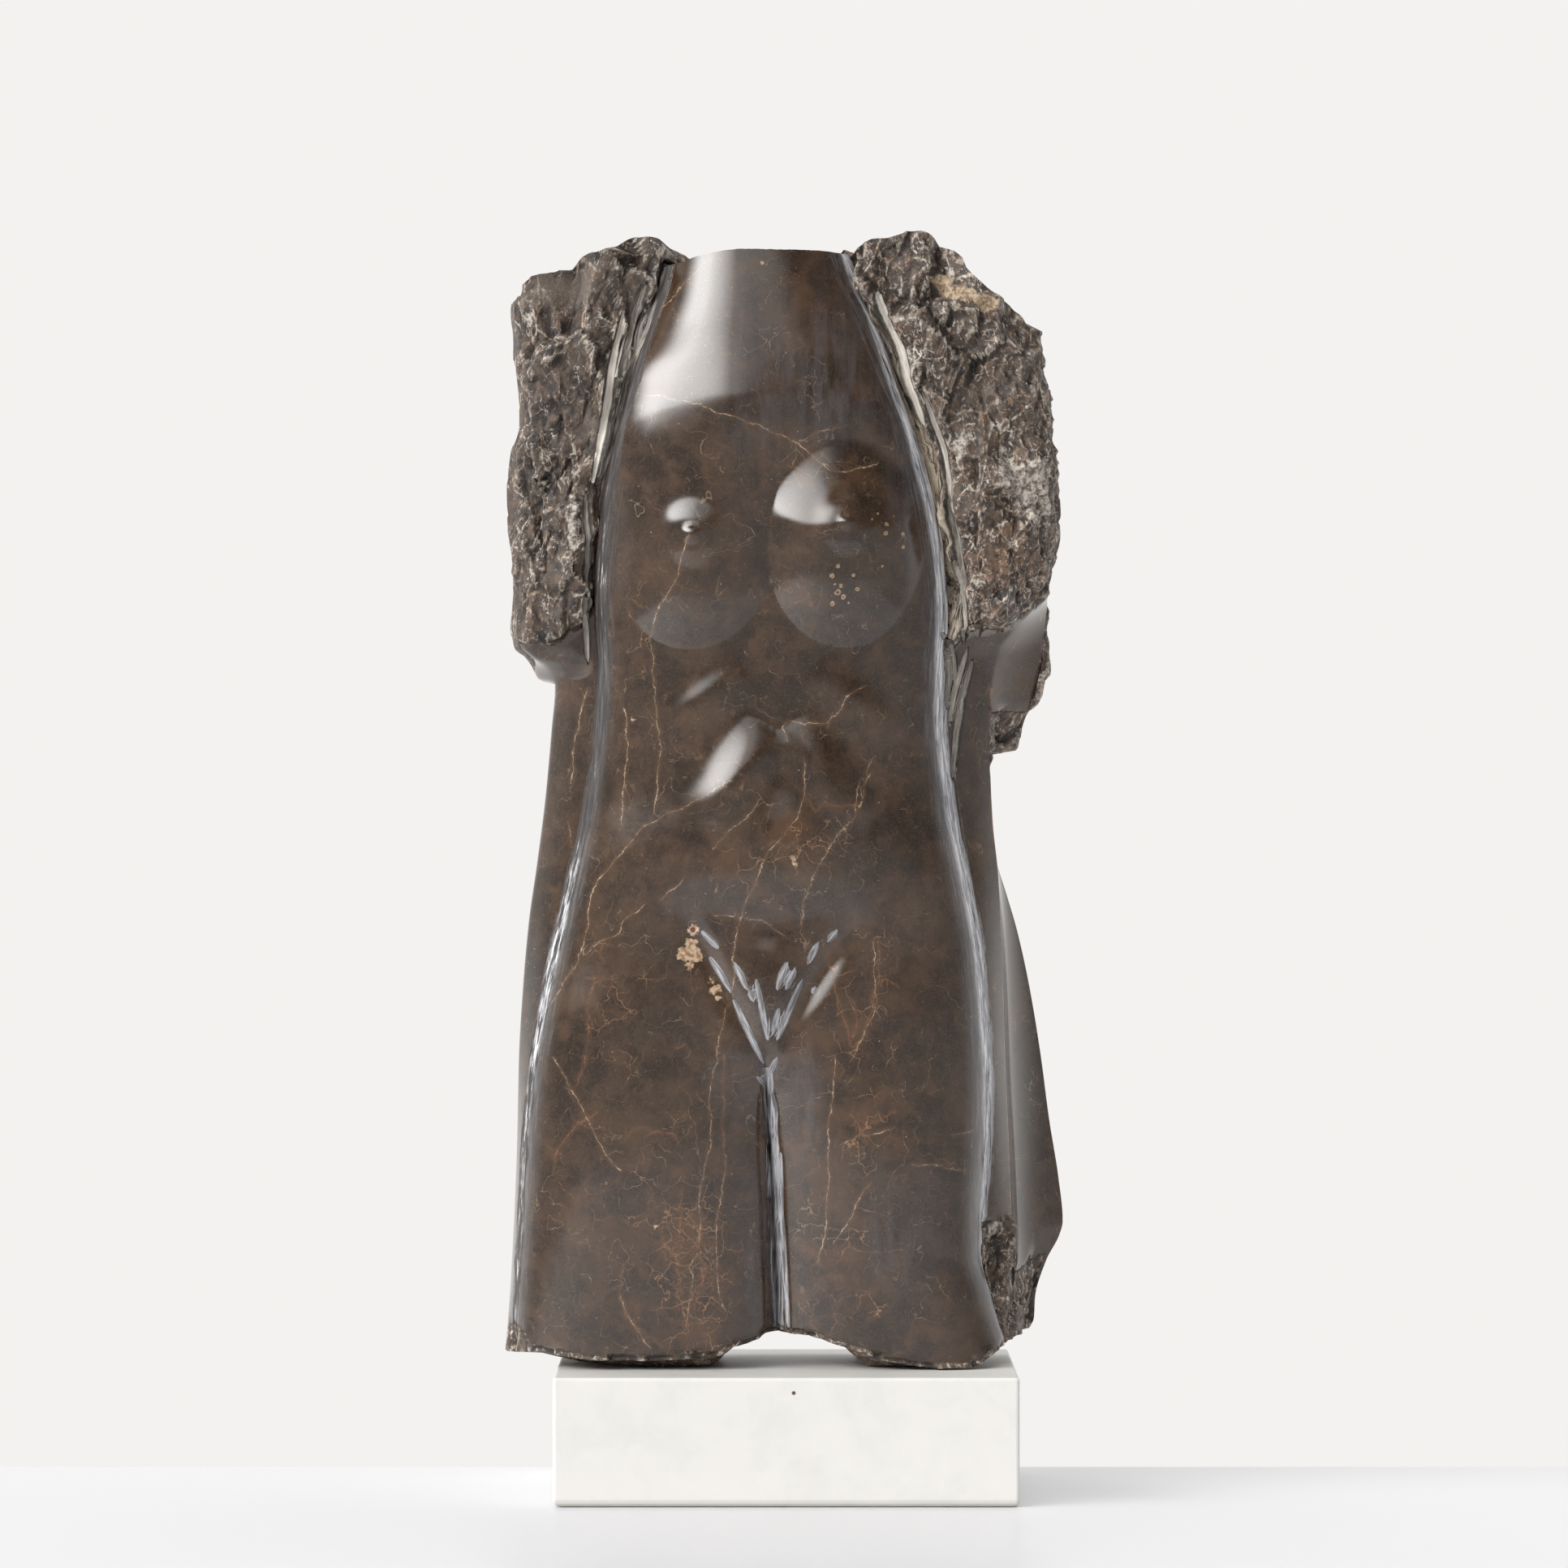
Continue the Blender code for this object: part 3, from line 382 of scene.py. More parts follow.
RUST_VEINS = [
    [(-16.6, 34.1), (-17.3, 32.2), (-17.2, 30.7), (-17.6, 27.3), (-18.2, 25.1)],
    [(-17.3, 34.1), (-16.2, 34.2), (-15.1, 34.3)],
    [(-14, 20.4), (-13.4, 21), (-12.4, 21.3), (-12, 20.8), (-11, 20.9), (-9.8, 20.6), (-9.3, 19.9)],
    [(8.1, 37.4), (8.1, 34.1), (7.5, 32.2), (6.8, 29.1), (5.9, 28.2)],
    [(8.1, 34.1), (8.9, 34.1), (9.6, 33.7)],
    [(-16.6, 22.5), (-18.7, 21.1), (-19.9, 19.3), (-20.5, 17.2)],
    [(-9.1, 15.7), (-9.3, 12.5), (-9.4, 7.7), (-8.8, 5.5)],
    [(-5.4, 27.5), (-5.4, 24.6), (-5.5, 21.5), (-5.4, 18.3)],
    [(4.3, 33.5), (5, 30.7), (5.7, 28.2), (6.2, 30.2), (5.9, 32.1)],
    [(1.9, 49.8), (2.6, 48.7), (3.3, 49.5), (4.7, 49.1), (6.1, 49.5)],
    [(-2, 45.6), (-1, 46.1), (0.1, 45.6), (1.1, 46.3)],
    [(-15.9, 37.4), (-16.4, 36.3), (-15.9, 35.6)],
    [(-14.1, 9.1), (-14.5, 6.9), (-14.1, 4.8), (-12.7, 3.4), (-10.9, 2.3)],
    [(-10.6, 13.3), (-10.9, 11.2), (-9.5, 9.8), (-9.1, 7.6), (-9.7, 5.5)],
    [(-8.1, 13.3), (-7.4, 11.9), (-7.9, 10.1), (-7, 9.1), (-7.6, 6.9), (-8.4, 4.8)],
    [(9.3, 22.5), (8.2, 22), (7.2, 21.5), (6.6, 20.8), (7, 20)]]
BODY_STROKES = [
    [(-6.7, 36.1), (-5.7, 34.6), (-4.8, 33)], [(-4.5, 35.5), (-3.9, 34.4), (-3.4, 33.2)],
    [(-3.3, 33.3), (-2.8, 32.2)], [(-4.6, 32.4), (-3.3, 29.6), (-2, 26.8)],
    [(-2.6, 34.1), (-2.2, 32.1), (-1.6, 28.8)], [(0.1, 35.6), (-0.8, 33.2)],
    [(0.8, 35.1), (0, 33.2)], [(-0.6, 31.6), (-1.2, 29.3)],
    [(1.4, 34), (0.4, 31.7), (-0.8, 28.8)], [(-0.8, 27.3), (-1.6, 25.6)],
    [(4.5, 38.4), (3.6, 37.4)], [(2.8, 37.3), (1.9, 35.5)], [(-2.5, 25.7), (-1.8, 24.8)],
    [(-1.8, 24.6), (-1.5, 21.8), (-1.3, 19.3)], [(-7.4, 38.3), (-5.9, 36.8)],
    [(-1.1, 18.3), (-1, 13.3), (-1.1, 9.1), (-0.8, 3.4)],
    [(-0.5, 19), (-0.5, 13.3), (-0.2, 9.1), (0.2, 3.4)],
    [(-1.3, 24.3), (-1, 22.5), (-1.1, 20)], [(2.6, 33.5), (2.3, 32.8)]]
# Strokes in the rough stone, as (paleness, half width, points).
STONE_STROKES = [
    (1.15, 0.36, [(-14.2, 93), (-15.3, 87.7), (-16, 82.8), (-16.9, 77.6)]),
    (0.45, 0.40, [(-12.5, 95.4), (-13.4, 91.3), (-14.6, 87)]),
    (0.5, 0.25, [(-10.7, 97), (-12.3, 91.5), (-14, 86.9), (-15, 82.8), (-15.7, 80), (-16.2, 77.8)]),
    (0.6, 0.24, [(-17.6, 76.8), (-17.4, 72.5), (-17.5, 68.4)]),
    (0.75, 0.3, [(-17.8, 67.8), (-17.5, 62)]),
    (1.0, 0.42, [(7.9, 94.3), (9.1, 91.6), (10.1, 89.2), (10.7, 86.9), (11.4, 84.6), (12, 82.7)]),
    (0.85, 0.28, [(12, 86), (12.8, 83.5), (13.7, 80.8), (14.3, 77.8), (14.5, 76)]),
    (0.6, 0.26, [(14.4, 76.4), (15.2, 72), (15.7, 68.2)]), (0.7, 0.3, [(14.8, 70.9), (15.5, 67.3), (15.7, 63.7)]),
    (0.6, 0.3, [(14, 63.7), (14.5, 60.9), (14.2, 58)]), (0.7, 0.3, [(16, 63), (15, 59.5), (14.4, 56.6)]),
    (0.5, 0.34, [(16.5, 62), (15.5, 58.7), (15.1, 55.9), (14.7, 51.6)]),
    (0.6, 0.26, [(13.7, 64.5), (14.7, 63), (15.1, 59.5)])]
STROKE_HALF = 0.35                   # half width of a stroke in the body, in hundredths

# Bands of bruised stone along the grooves, as (level, how far out, half width, whiteness).
LEFT_BRUISE = [(0, 0, 0.2, 0.0), (10, 0, 0.26, 0.0), (20, 0, 0.3, 0.1), (29, 0, 0.42, 0.5),
               (35, 0, 0.52, 0.7), (42, 0, 0.46, 0.3), (50, -0.3, 0.5, -0.9), (60, -0.6, 0.6, -0.8),
               (70, -0.7, 0.55, -0.4), (76, -0.6, 0.45, -0.6), (82, -0.5, 0.5, -1.8),
               (90, -0.5, 0.6, -2.2), (100, -0.4, 0.5, -2.4)]
RIGHT_BRUISE = [(0, 0, 0.0, 0.3), (4, 0, 0.1, 0.4), (6.3, 0, 0.28, 0.6), (12, 0, 0.36, 0.7),
                (17, 0.1, 0.42, 0.8), (25.4, 0.05, 0.55, 1.0), (31, 0, 0.56, 1.1), (42, 0, 0.56, 1.1),
                (52, -0.2, 0.56, 1.0), (58, -0.3, 0.6, 1.1), (66, -0.6, 0.62, 1.2),
                (74.3, -0.6, 0.62, 1.0), (79.3, -0.8, 0.56, 0.9), (83.5, -0.8, 0.42, 0.8),
                (89, -0.6, 0.4, 0.7), (94, -0.3, 0.4, 0.7), (100, -0.3, 0.35, 0.8)]
FIBRES = [(0, 0, -1), (60, 0.1, -0.5), (63, 0.2, 0.3), (68, 0.45, 0.55), (74, 0.3, 0.6),
          (80, 0.2, 0.55), (86, 0.35, 0.6), (90, 0.5, 0.45), (94, 0.5, 0.1), (97, 0.5, -0.5),
          (100, 0.5, -1)]             # pale crushed fibres beside the right groove, in the same way

# Patches of veined, rust-stained stone, as (across, level, spread across, spread up, strength).
STAINS = [(-7.8, 7.0, 3.6, 7.0, 1.0), (-11.5, 14.0, 5.0, 5.0, 0.5), (2.5, 47.5, 4.0, 3.6, 0.45),
          (6.0, 30.0, 3.6, 6.0, 0.6), (6.4, 20.5, 2.6, 2.6, 0.7), (5.0, 11.0, 4.0, 5.0, 0.35),
          (-15.0, 30.5, 3.6, 4.5, 0.5), (-1.0, 45.0, 6.0, 4.0, 0.45), (-13.0, 66.0, 2.0, 5.0, 0.35),
          (1.0, 80.0, 4.0, 2.5, 0.4), (-5.0, 52.0, 4.0, 3.0, 0.35), (7.5, 6.0, 5.0, 4.0, 0.3)]


# Places on the broken stone, in the same way: tan, scuffed pale, rusty and left smooth.
TAN = [(15.2, 94.3, 1.7, 0.8, 1.0), (17.4, 93.2, 1.2, 0.8, 0.9), (-12.0, 98.4, 0.8, 0.6, 0.4), (20.5, 89.5, 1.2, 0.8, 0.5),
       (13.6, 95.6, 1.2, 0.7, 0.8)]
SCUFFED = [(16.0, 81.7, 0.6, 0.8, 1.0), (15.0, 80.6, 0.7, 1.2, 0.9), (19.4, 78.9, 0.9, 2.2, 0.95),
           (22.3, 77.0, 2.4, 3.4, 0.95), (18.5, 13.0, 0.6, 2.6, 0.9), (11.1, 88.6, 0.8, 1.8, 0.7), (13.5, 83.1, 0.7, 1.1, 0.7),
           (15.0, 71.4, 0.8, 2.2, 0.8), (-18.7, 74.0, 0.8, 3.4, 0.9), (-22.9, 92.2, 0.5, 0.9, 0.9),
           (-16.8, 87.6, 0.5, 0.5, 0.7), (-19.5, 90.6, 1.8, 0.5, 0.6), (-18.0, 64.5, 1.2, 1.5, 0.7)]
RUSTY = [(18.5, 70.7, 3.6, 2.8, 0.9), (20.0, 74.5, 2.4, 2.4, 0.6), (-21.5, 66.5, 2.4, 2.0, 0.4)]
SMOOTH = [(-19.0, 94.8, 4.6, 2.0, 1.0), (-17.4, 82.4, 1.3, 2.2, 0.9), (17.4, 85.4, 2.0, 1.4, 0.8),
          (23.5, 64.0, 2.2, 3.6, 1.0)]

# Patches of a pale greyish film on the polished body, partly a film on the stone and partly a painted sheen (a
# reflection painted into the colour), as (across, level, spread across, spread up, strength).
FILM_AND_SHEEN = [(4.5, 88.0, 3.4, 6.5, 1.0), (-2.5, 86.0, 3.0, 6.0, 0.6), (10.5, 78.0, 1.6, 5.0, 0.8),
        (7.0, 47.0, 2.0, 6.0, 0.25), (9.0, 12.0, 4.0, 4.5, 0.5), (-2.4, 10.0, 1.4, 8.0, 0.9),
        (1.6, 23.0, 1.2, 5.0, 0.7)]


def patch_share(across, level, places):
    """How far each point lies inside some soft patches, from 0 to 1."""
    inside = sum(s * np.exp(-((across - x) / a) ** 2 - ((level - z) / b) ** 2)
                 for x, z, a, b, s in places)
    return np.clip(inside, 0, 1)


def torso_sides():
    """Points up the sides, their place round the section, how rough the stone is and where it is
    polished down to its chipped rim."""
    place = np.concatenate([i + np.arange(n) / n for i, n in enumerate(SPANS)])
    rows = np.interp(np.arange(ROW_LEVELS[-1][0] + 1), *np.transpose(ROW_LEVELS))[:, None]
    turn = place * 2 * np.pi / 10
    chips = np.array([noise.fractal(Vector((14 * math.cos(a), 14 * math.sin(a), 3.0)), 0.8, 2.2, 3)
                      for a in turn])
    more = np.array([noise.fractal(Vector((14 * math.cos(a), 14 * math.sin(a), 9.0)), 0.8, 2.2, 3)
                     for a in turn])
    low = through(BOTTOM_RIM, place) + 0.16 * chips
    high = through(TOP_RIM, place) + 0.16 * more * np.where((place > 4.3) & (place < 6), 0.3, 1.0)
    level = (rows + low * np.clip(1 - rows / RIM_BLEND[0], 0, 1)
             + (high - 100) * np.clip((rows - RIM_BLEND[1]) / (100 - RIM_BLEND[1]), 0, 1))
    around = np.broadcast_to(place, level.shape)
    across, depth = section(around.ravel(), level.ravel())
    sides = rounded(np.stack([across, depth, level.ravel()], 1).reshape(*level.shape, 3), place)
    rough = crisscross(around.ravel(), level.ravel()).reshape(level.shape)
    corner = ramp(place, 3.1, 3.25) * (1 - ramp(place, 4.0, 4.12))
    band = 0.25 + 1.9 * corner + 0.25 * more
    rim = 1 - ramp(level - low, band, band + 0.35)
    return sides, around, np.maximum(rough, rim), rough < 0.5


def nearest(across, level, lines):
    """Distance to the nearest of some lines, signed by its side, its size, and how far along it is."""
    best = np.full(across.shape, 50.0)
    signed = best.copy()
    along = np.zeros(across.shape)
    for line in lines:
        for i, ((x0, z0), (x1, z1)) in enumerate(zip(line, line[1:])):
            dx, dz = x1 - x0, z1 - z0
            t = np.clip(((across - x0) * dx + (level - z0) * dz) / (dx * dx + dz * dz), 0, 1)
            x, z = across - x0 - t * dx, level - z0 - t * dz
            away = np.hypot(x, z)
            closer = away < best
            best = np.where(closer, away, best)
            signed = np.where(closer, np.copysign(away, dx * z - dz * x), signed)
            along = np.where(closer, (i + t) / (len(line) - 1), along)
    return signed, best, along


def wandering(points, size, amount):
    """Small shifts that make a line on the stone wander."""
    shifts = np.array([noise.noise_vector(Vector(p) / size) for p in points.reshape(-1, 3)])
    return points + amount * shifts.reshape(points.shape)


def torso_mesh():
    sides, place, rough, polished = torso_sides()
    hidden = np.clip(1 - ramp(place, 2.6, 3.1) + ramp(place, 7.9, 8.4), 0, 1)
    out = outwards(sides)
    front = (place > 3.05) & (place < 6.95)
    body = (place >= 3.98) & (place <= 6.02)
    across, level = sides[..., 0], sides[..., 2]
    moved = wandering(sides, 1.6, 0.22)
    moved = wandering(moved, 0.7, 0.07)
    marks = {}

    for name, lines in (("pale", PALE_VEINS), ("rust", RUST_VEINS)):
        signed, near, _ = nearest(moved[..., 0], moved[..., 2], lines)
        marks[name + "_side"] = np.where(front, signed, 50) / MM
        marks[name + "_near"] = np.where(front, near, 50) / MM

    side, near, along = nearest(across, level, BODY_STROKES)
    width = STROKE_HALF * (0.3 + 0.7 * np.sqrt(np.clip(4 * along * (1 - along), 0, 1)))
    side, near, pale = side / width, near / width, np.full(across.shape, -1.0)
    depth = np.full(across.shape, 0.05)
    for paleness, half, line in STONE_STROKES:
        signed, away, along = nearest(across, level, [line])
        width = half * (0.3 + 0.7 * np.sqrt(np.clip(4 * along * (1 - along), 0, 1)))
        closer = away / width < near
        side = np.where(closer, signed / width, side)
        near = np.where(closer, away / width, near)
        pale = np.where(closer, paleness, pale)
        depth = np.where(closer, 0.34, depth)
    marks["stroke_side"] = np.where(front, side, 50)
    marks["stroke_near"] = np.where(front, near, 50)
    marks["stroke_pale"] = pale
    gouge = np.clip(1 - near ** 2, 0, 1) * front * depth

    left = through(GROOVE_LEFT, level) - across
    right = across - through(GROOVE_RIGHT, level)
    bruise = np.full(across.shape, 20.0)
    body_side = np.full(across.shape, 20.0)
    chalk = np.zeros(across.shape)
    for out_from, table, mine in ((left, LEFT_BRUISE, place < 5), (right, RIGHT_BRUISE, place >= 5)):
        offset, half = through(table, level, 1), through(table, level, 2)
        bruise = np.where(mine & front, (np.abs(out_from - offset) - half) / MM, bruise)
        body_side = np.where(mine & body, (offset - half - out_from) / MM, body_side)
        chalk = np.where(mine, through(table, level, 3), chalk)
    marks["bruise"] = bruise
    marks["chalk"] = chalk
    marks["body_side"] = body_side
    fibres = np.abs(right - through(FIBRES, level, 1)) - through(FIBRES, level, 2)
    marks["fibres"] = np.where(front & (place > 5), fibres / MM, 20.0)
    marks["beside"] = np.where(place < 5, left, right) / MM
    marks["right"] = ramp(across, -1.0, 1.0)
    # Where a painted glow runs along the sharp right arris: light shining through the thin edge, painted as
    # colour.
    arris_glow = (place > 6.5) & (place < 7.5) & (level > 13) & (level < 60)
    marks["arris_glow"] = np.where(arris_glow, np.abs(place - 7) * 20, 10)
    marks["stain"] = np.where(front, patch_share(across, level, STAINS), 0.15)
    for name, places in (("tan", TAN), ("scuffed", SCUFFED), ("rusty", RUSTY), ("smooth", SMOOTH),
                         ("film_and_sheen", FILM_AND_SHEEN)):
        marks[name] = patch_share(across, level, places) * front
    marks["front"] = front * 1.0
    crease = np.abs(across - through(BODY_MIDDLE, level) - 0.25) / MM - 2.2
    marks["crease"] = np.where(body & (level < 26.5), crease, 20.0)

    height = np.zeros(rough.shape)
    where = rough > 0.01
    points = sides[where]
    split = points * (1.0, 1.0, 0.6)
    facing = 0.1 + 0.9 * np.abs(out[where][:, 1])
    height[where] = rough[where] * ((0.5 - 0.3 * marks["smooth"][where]) * facing * facets(split, 5.5)
                                    + (1 - 0.8 * marks["smooth"][where])
                                    * ((0.3 + 0.25 * facing) * facets(split + 31.0, 2.4)
                                       * (1 - 0.6 * hidden[where])
                                       + 0.55 * facets(split + 57.0, 1.0) * (1 - hidden[where])))
    height *= 1 - 0.9 * np.exp(-(near / 1.15) ** 4) * front
    height -= gouge + 0.15 * rough
    height = np.where(polished & (rough > 0), np.clip(height, -0.5, 0.02), height)
    sides = sides + out * height[..., None]

    # How far each point stands out from its neighbours: crests are later painted pale as bruised stone, and
    # hollows dark as painted shade.
    mean = (np.roll(sides, 1, 1) + np.roll(sides, -1, 1)) / 2
    mean[1:-1] = (mean[1:-1] + (sides[2:] + sides[:-2]) / 2) / 2
    crests_and_shaded_hollows = ((sides - mean) * out).sum(2) / MM
    marks["crests_and_shaded_hollows"] = np.clip(crests_and_shaded_hollows, -2, 2) * rough * (1 - 0.7 * hidden)
    marks["rough"] = rough

    inwards = np.arange(RINGS, 0, -1)[:, None, None] / RINGS
    under = sides[0] + (np.array(UNDER_MIDDLE) - sides[0]) * inwards
    pads = UNDER_MIDDLE[2] * np.exp(-((under[..., 0] - ARCH[0]) / ARCH[1]) ** 6)
    under[..., 2] += (pads - under[..., 2]) * ramp(inwards[..., 0], 0.02, 0.3)
    top = sides[-1] + (np.array(TOP_MIDDLE) - sides[-1]) * inwards
    top[..., 2] = TOP_MIDDLE[2] + (sides[-1, :, 2] - TOP_MIDDLE[2]) * (1 - inwards[..., 0]) ** 3
    top = top[::-1]
    broken_top = 0.5 * facets(top.reshape(-1, 3), 7.0) + 0.5 * facets(top.reshape(-1, 3) + 31, 2.4)
    top[..., 2] += broken_top.reshape(top.shape[:2]) * ramp(
        1 - np.abs(2 * inwards[::-1, :, 0] - 1), 0, 0.5)
    grid = np.concatenate([under, sides, top])

    points = np.vstack([grid[1:-1].reshape(-1, 3), grid[0, 0], grid[-1, 0]]) * UNIT
    points[:, 2] += PLINTH_HEIGHT + SEAT_GAP
    points = np.clip(points, *solids_box)
    ends = {"rough": 1.0, "crests_and_shaded_hollows": 0.0, "front": 0.0, "stain": 0.2, "right": 0.5, "chalk": 0.0,
            "tan": 0.0, "scuffed": 0.0, "rusty": 0.0, "smooth": 0.0, "film_and_sheen": 0.0, "stroke_pale": 0.5}
    columns = grid.shape[1]
    values = {}
    for name, value in marks.items():
        end = ends.get(name, 500.0)
        around = np.full((RINGS - 1, columns), end)
        values[name] = np.concatenate([around.ravel(), value.ravel(), around.ravel(), [end, end]])
    return points, columns, values


def add_torso(material):
    points, columns, values = torso_mesh()
    rows = (len(points) - 2) // columns
    first = np.arange(rows - 1)[:, None] * columns
    a = np.arange(columns)
    b = np.roll(a, -1)
    quads = np.stack([first + a, first + b, first + columns + b, first + columns + a], 2).reshape(-1, 4)
    under, top = len(points) - 2, len(points) - 1
    last = (rows - 1) * columns
    ends = np.concatenate([np.stack([np.full(columns, under), b, a], 1),
                           np.stack([np.full(columns, top), last + a, last + b], 1)])
    mesh = bpy.data.meshes.new("torso_stone")
    mesh.from_pydata(points.tolist(), [], quads.tolist() + ends.tolist())
    mesh.shade_smooth()
    mesh.set_sharp_from_angle(angle=math.radians(27))
    for name, value in values.items():
        mesh.attributes.new(name, "FLOAT", "POINT").data.foreach_set("value", value.astype(np.float32))
    mesh.materials.append(material)
    torso = bpy.data.objects.new("torso_stone", mesh)
    bpy.context.scene.collection.objects.link(torso)
    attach(torso, "root")
    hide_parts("torso")
    return torso


class Value:
    """A value in a material, which takes Python's arithmetic."""

    def __init__(self, paint, socket):
        self.paint, self.socket = paint, socket

    def __add__(self, other):
        return self.paint.math("ADD", self, other)

    def __sub__(self, other):
        return self.paint.math("SUBTRACT", self, other)

    def __rsub__(self, other):
        return self.paint.math("SUBTRACT", other, self)

    def __mul__(self, other):
        return self.paint.math("MULTIPLY", self, other)

    def __truediv__(self, other):
        return self.paint.math("DIVIDE", self, other)

    def __abs__(self):
        return self.paint.math("ABSOLUTE", self)

    __radd__, __rmul__ = __add__, __mul__


class Paint:
    """A material or a world being made. Each call adds a node and gives its output."""

    def __init__(self, owner):
        owner.use_nodes = True
        self.owner, self.tree = owner, owner.node_tree
        self.tree.nodes.clear()

    def node(self, kind, settings=None, inputs=None, output=0):
        node = self.tree.nodes.new("ShaderNode" + kind)
        for key, value in (settings or {}).items():
            setattr(node, key, value)
        for key, value in (inputs or {}).items():
            if isinstance(value, Value):
                self.tree.links.new(value.socket, node.inputs[key])
            else:
                node.inputs[key].default_value = value
        return Value(self, node.outputs[output])

    def math(self, operation, *values):
        return self.node("Math", {"operation": operation}, dict(enumerate(values)))

    def vector(self, operation, *values, output=0):
        return self.node("VectorMath", {"operation": operation}, dict(enumerate(values)), output)

    def least(self, first, second):
        return self.math("MINIMUM", first, second)

    def most(self, first, second):
        return self.math("MAXIMUM", first, second)

    def step(self, value, low, high):
        """0 at low, 1 at high, smooth between."""
        return self.node("MapRange", {"interpolation_type": "SMOOTHSTEP"},
                         {0: value, 1: low, 2: high, 3: 0.0, 4: 1.0})

    def mix(self, share, first, second):
        return self.node("Mix", {"data_type": "RGBA"}, {0: share, 6: first, 7: second}, 2)

    def mark(self, name):
        return self.node("Attribute", {"attribute_name": name}, output="Fac")

    def noise(self, where, scale, detail=3.0, roughness=0.5, output=0):
        return self.node("TexNoise", {}, {"Vector": where, "Scale": scale, "Detail": detail,
                                          "Roughness": roughness}, output)

    def cells(self, where, scale, feature="F1", output=0):
        return self.node("TexVoronoi", {"feature": feature}, {"Vector": where, "Scale": scale}, output)

    def finish(self, shader, end="OutputMaterial"):
        last = self.tree.nodes.new("ShaderNode" + end)
        self.tree.links.new(shader.socket, last.inputs["Surface"])
        return self.owner


def tone(red, green, blue):
    """A colour from its usual 0 to 255 steps."""
    steps = [v / 255 for v in (red, green, blue)]
    return tuple([v / 12.92 if v <= 0.04045 else ((v + 0.055) / 1.055) ** 2.4 for v in steps] + [1.0])


def limestone():
    p = Paint(bpy.data.materials.new("dark limestone"))
    where = p.node("TexCoord", output="Object")
    cm = p.vector("MULTIPLY", where, (100.0, 100.0, 100.0))
    wander = p.node("TexNoise", {}, {"Vector": cm, "Scale": 1.1, "Detail": 3.0}, 1)
    bent = p.node("VectorMath", {"operation": "MULTIPLY_ADD"}, {0: wander, 1: (1.2, 1.2, 1.2), 2: cm})
    clouds = p.noise(cm, 0.22, 4.0, 0.55)
    mottle = p.noise(bent, 0.9, 5.0, 0.62)
    grain = p.noise(cm, 9.0, 2.0, 0.6)
    stain = p.mark("stain")
    front = p.mark("front")
    x, y, height = (p.node("SeparateXYZ", {}, {0: cm}, i) for i in range(3))

    body = p.mix(p.step(clouds * 0.45 + mottle * 0.55, 0.36, 0.64), tone(43, 30, 20), tone(75, 56, 41))
    body = p.mix(p.step(grain, 0.40, 0.80) * 0.26, body, tone(98, 84, 71))
    brown = p.step(p.noise(bent, 0.45, 4.0, 0.65) + stain * 0.22, 0.52, 0.84)
    body = p.mix(brown * 0.5, body, tone(98, 68, 44))

    # Pale greyish film in upright streaks: partly a film on the stone, partly a painted sheen that stands for a
    # reflection of the bright room.
    film_and_sheen = p.noise(p.node("CombineXYZ", {}, {0: x * 1.6, 1: height * 0.25, 2: 9.0}), 1.0, 5.0, 0.65)
    body = p.mix(p.mark("film_and_sheen") * p.step(film_and_sheen, 0.34, 0.66) * 0.5, body, tone(104, 100, 104))

    # Hairline veins, thickest where the stone is stained.
    fade = p.noise(cm, 0.8, 2.0)
    edge = p.cells(bent, 0.75, "DISTANCE_TO_EDGE")
    net = (1 - p.step(edge, 0.003, 0.016)) * p.step(fade + stain * 0.42, 0.60, 0.80)
    small = (1 - p.step(p.cells(bent, 2.1, "DISTANCE_TO_EDGE"), 0.008, 0.045))
    small = small * p.step(fade * 0.5 + stain * 0.6, 0.52, 0.85)
    body = p.mix(p.most(net * 0.75, small * 0.34), body, tone(158, 120, 88))
    for scale, shift, share in ((0.30, 0.0, 0.40), (0.42, 40.0, 0.28), (0.8, 90.0, 0.16)):
        moved = p.vector("ADD", bent, (shift, shift, shift))
        thread = abs(p.noise(moved, scale, 2.0) - 0.5) * (1 / scale)
        thread = (1 - p.step(thread, 0.002, 0.008)) * p.step(p.noise(moved, 0.5, 3.0), 0.48, 0.60)
        body = p.mix(thread * share, body, tone(168, 146, 122))

    # Larger veins.
    shake = (p.noise(cm, 3.6, 3.0, 0.72) - 0.5) * 2.6
    fine = p.step(p.noise(cm, 3.4, 3.0, 0.65), 0.40, 0.66)
    strength = p.step(p.noise(cm, 1.2, 3.0, 0.65), 0.40, 0.60)
    for name, wide, share, colour in (("rust", 0.34, 0.62, tone(150, 94, 60)),
                                      ("pale", 0.26, 0.88, tone(190, 168, 142))):
        away = abs(p.mark(name + "_side") + shake)
        mine = 1 - p.step(p.mark(name + "_near"), 1.5, 2.1)
        vein = (1 - p.step(away, fine * wide * 0.5, fine * wide + 0.16)) * mine
        halo = (1 - p.step(away, 0.3, 2.0)) * (1 - p.step(p.mark(name + "_near"), 1.8, 2.6))
        body = p.mix(halo * 0.16, body, tone(122, 88, 62))
        body = p.mix(vein * (strength * 0.75 + 0.2) * share, body, colour)

    # Specks, fossils and the pale patch at the groin.
    flat = p.vector("MULTIPLY", cm, (1.0, 0.0, 1.0))
    speck = p.cells(cm, 1.6)
    chance = p.node("SeparateColor", {}, {0: p.cells(cm, 1.6, output=1)})
    specks = (1 - p.step(speck, 0.03, 0.06)) * p.step(chance, 0.80, 0.82)
    dust = (1 - p.step(p.cells(cm, 4.2), 0.05, 0.13)) * p.step(p.noise(cm, 1.3, 4.0), 0.50, 0.66)
    body = p.mix(p.most(specks * 0.8, dust * 0.45), body, tone(186, 170, 150))

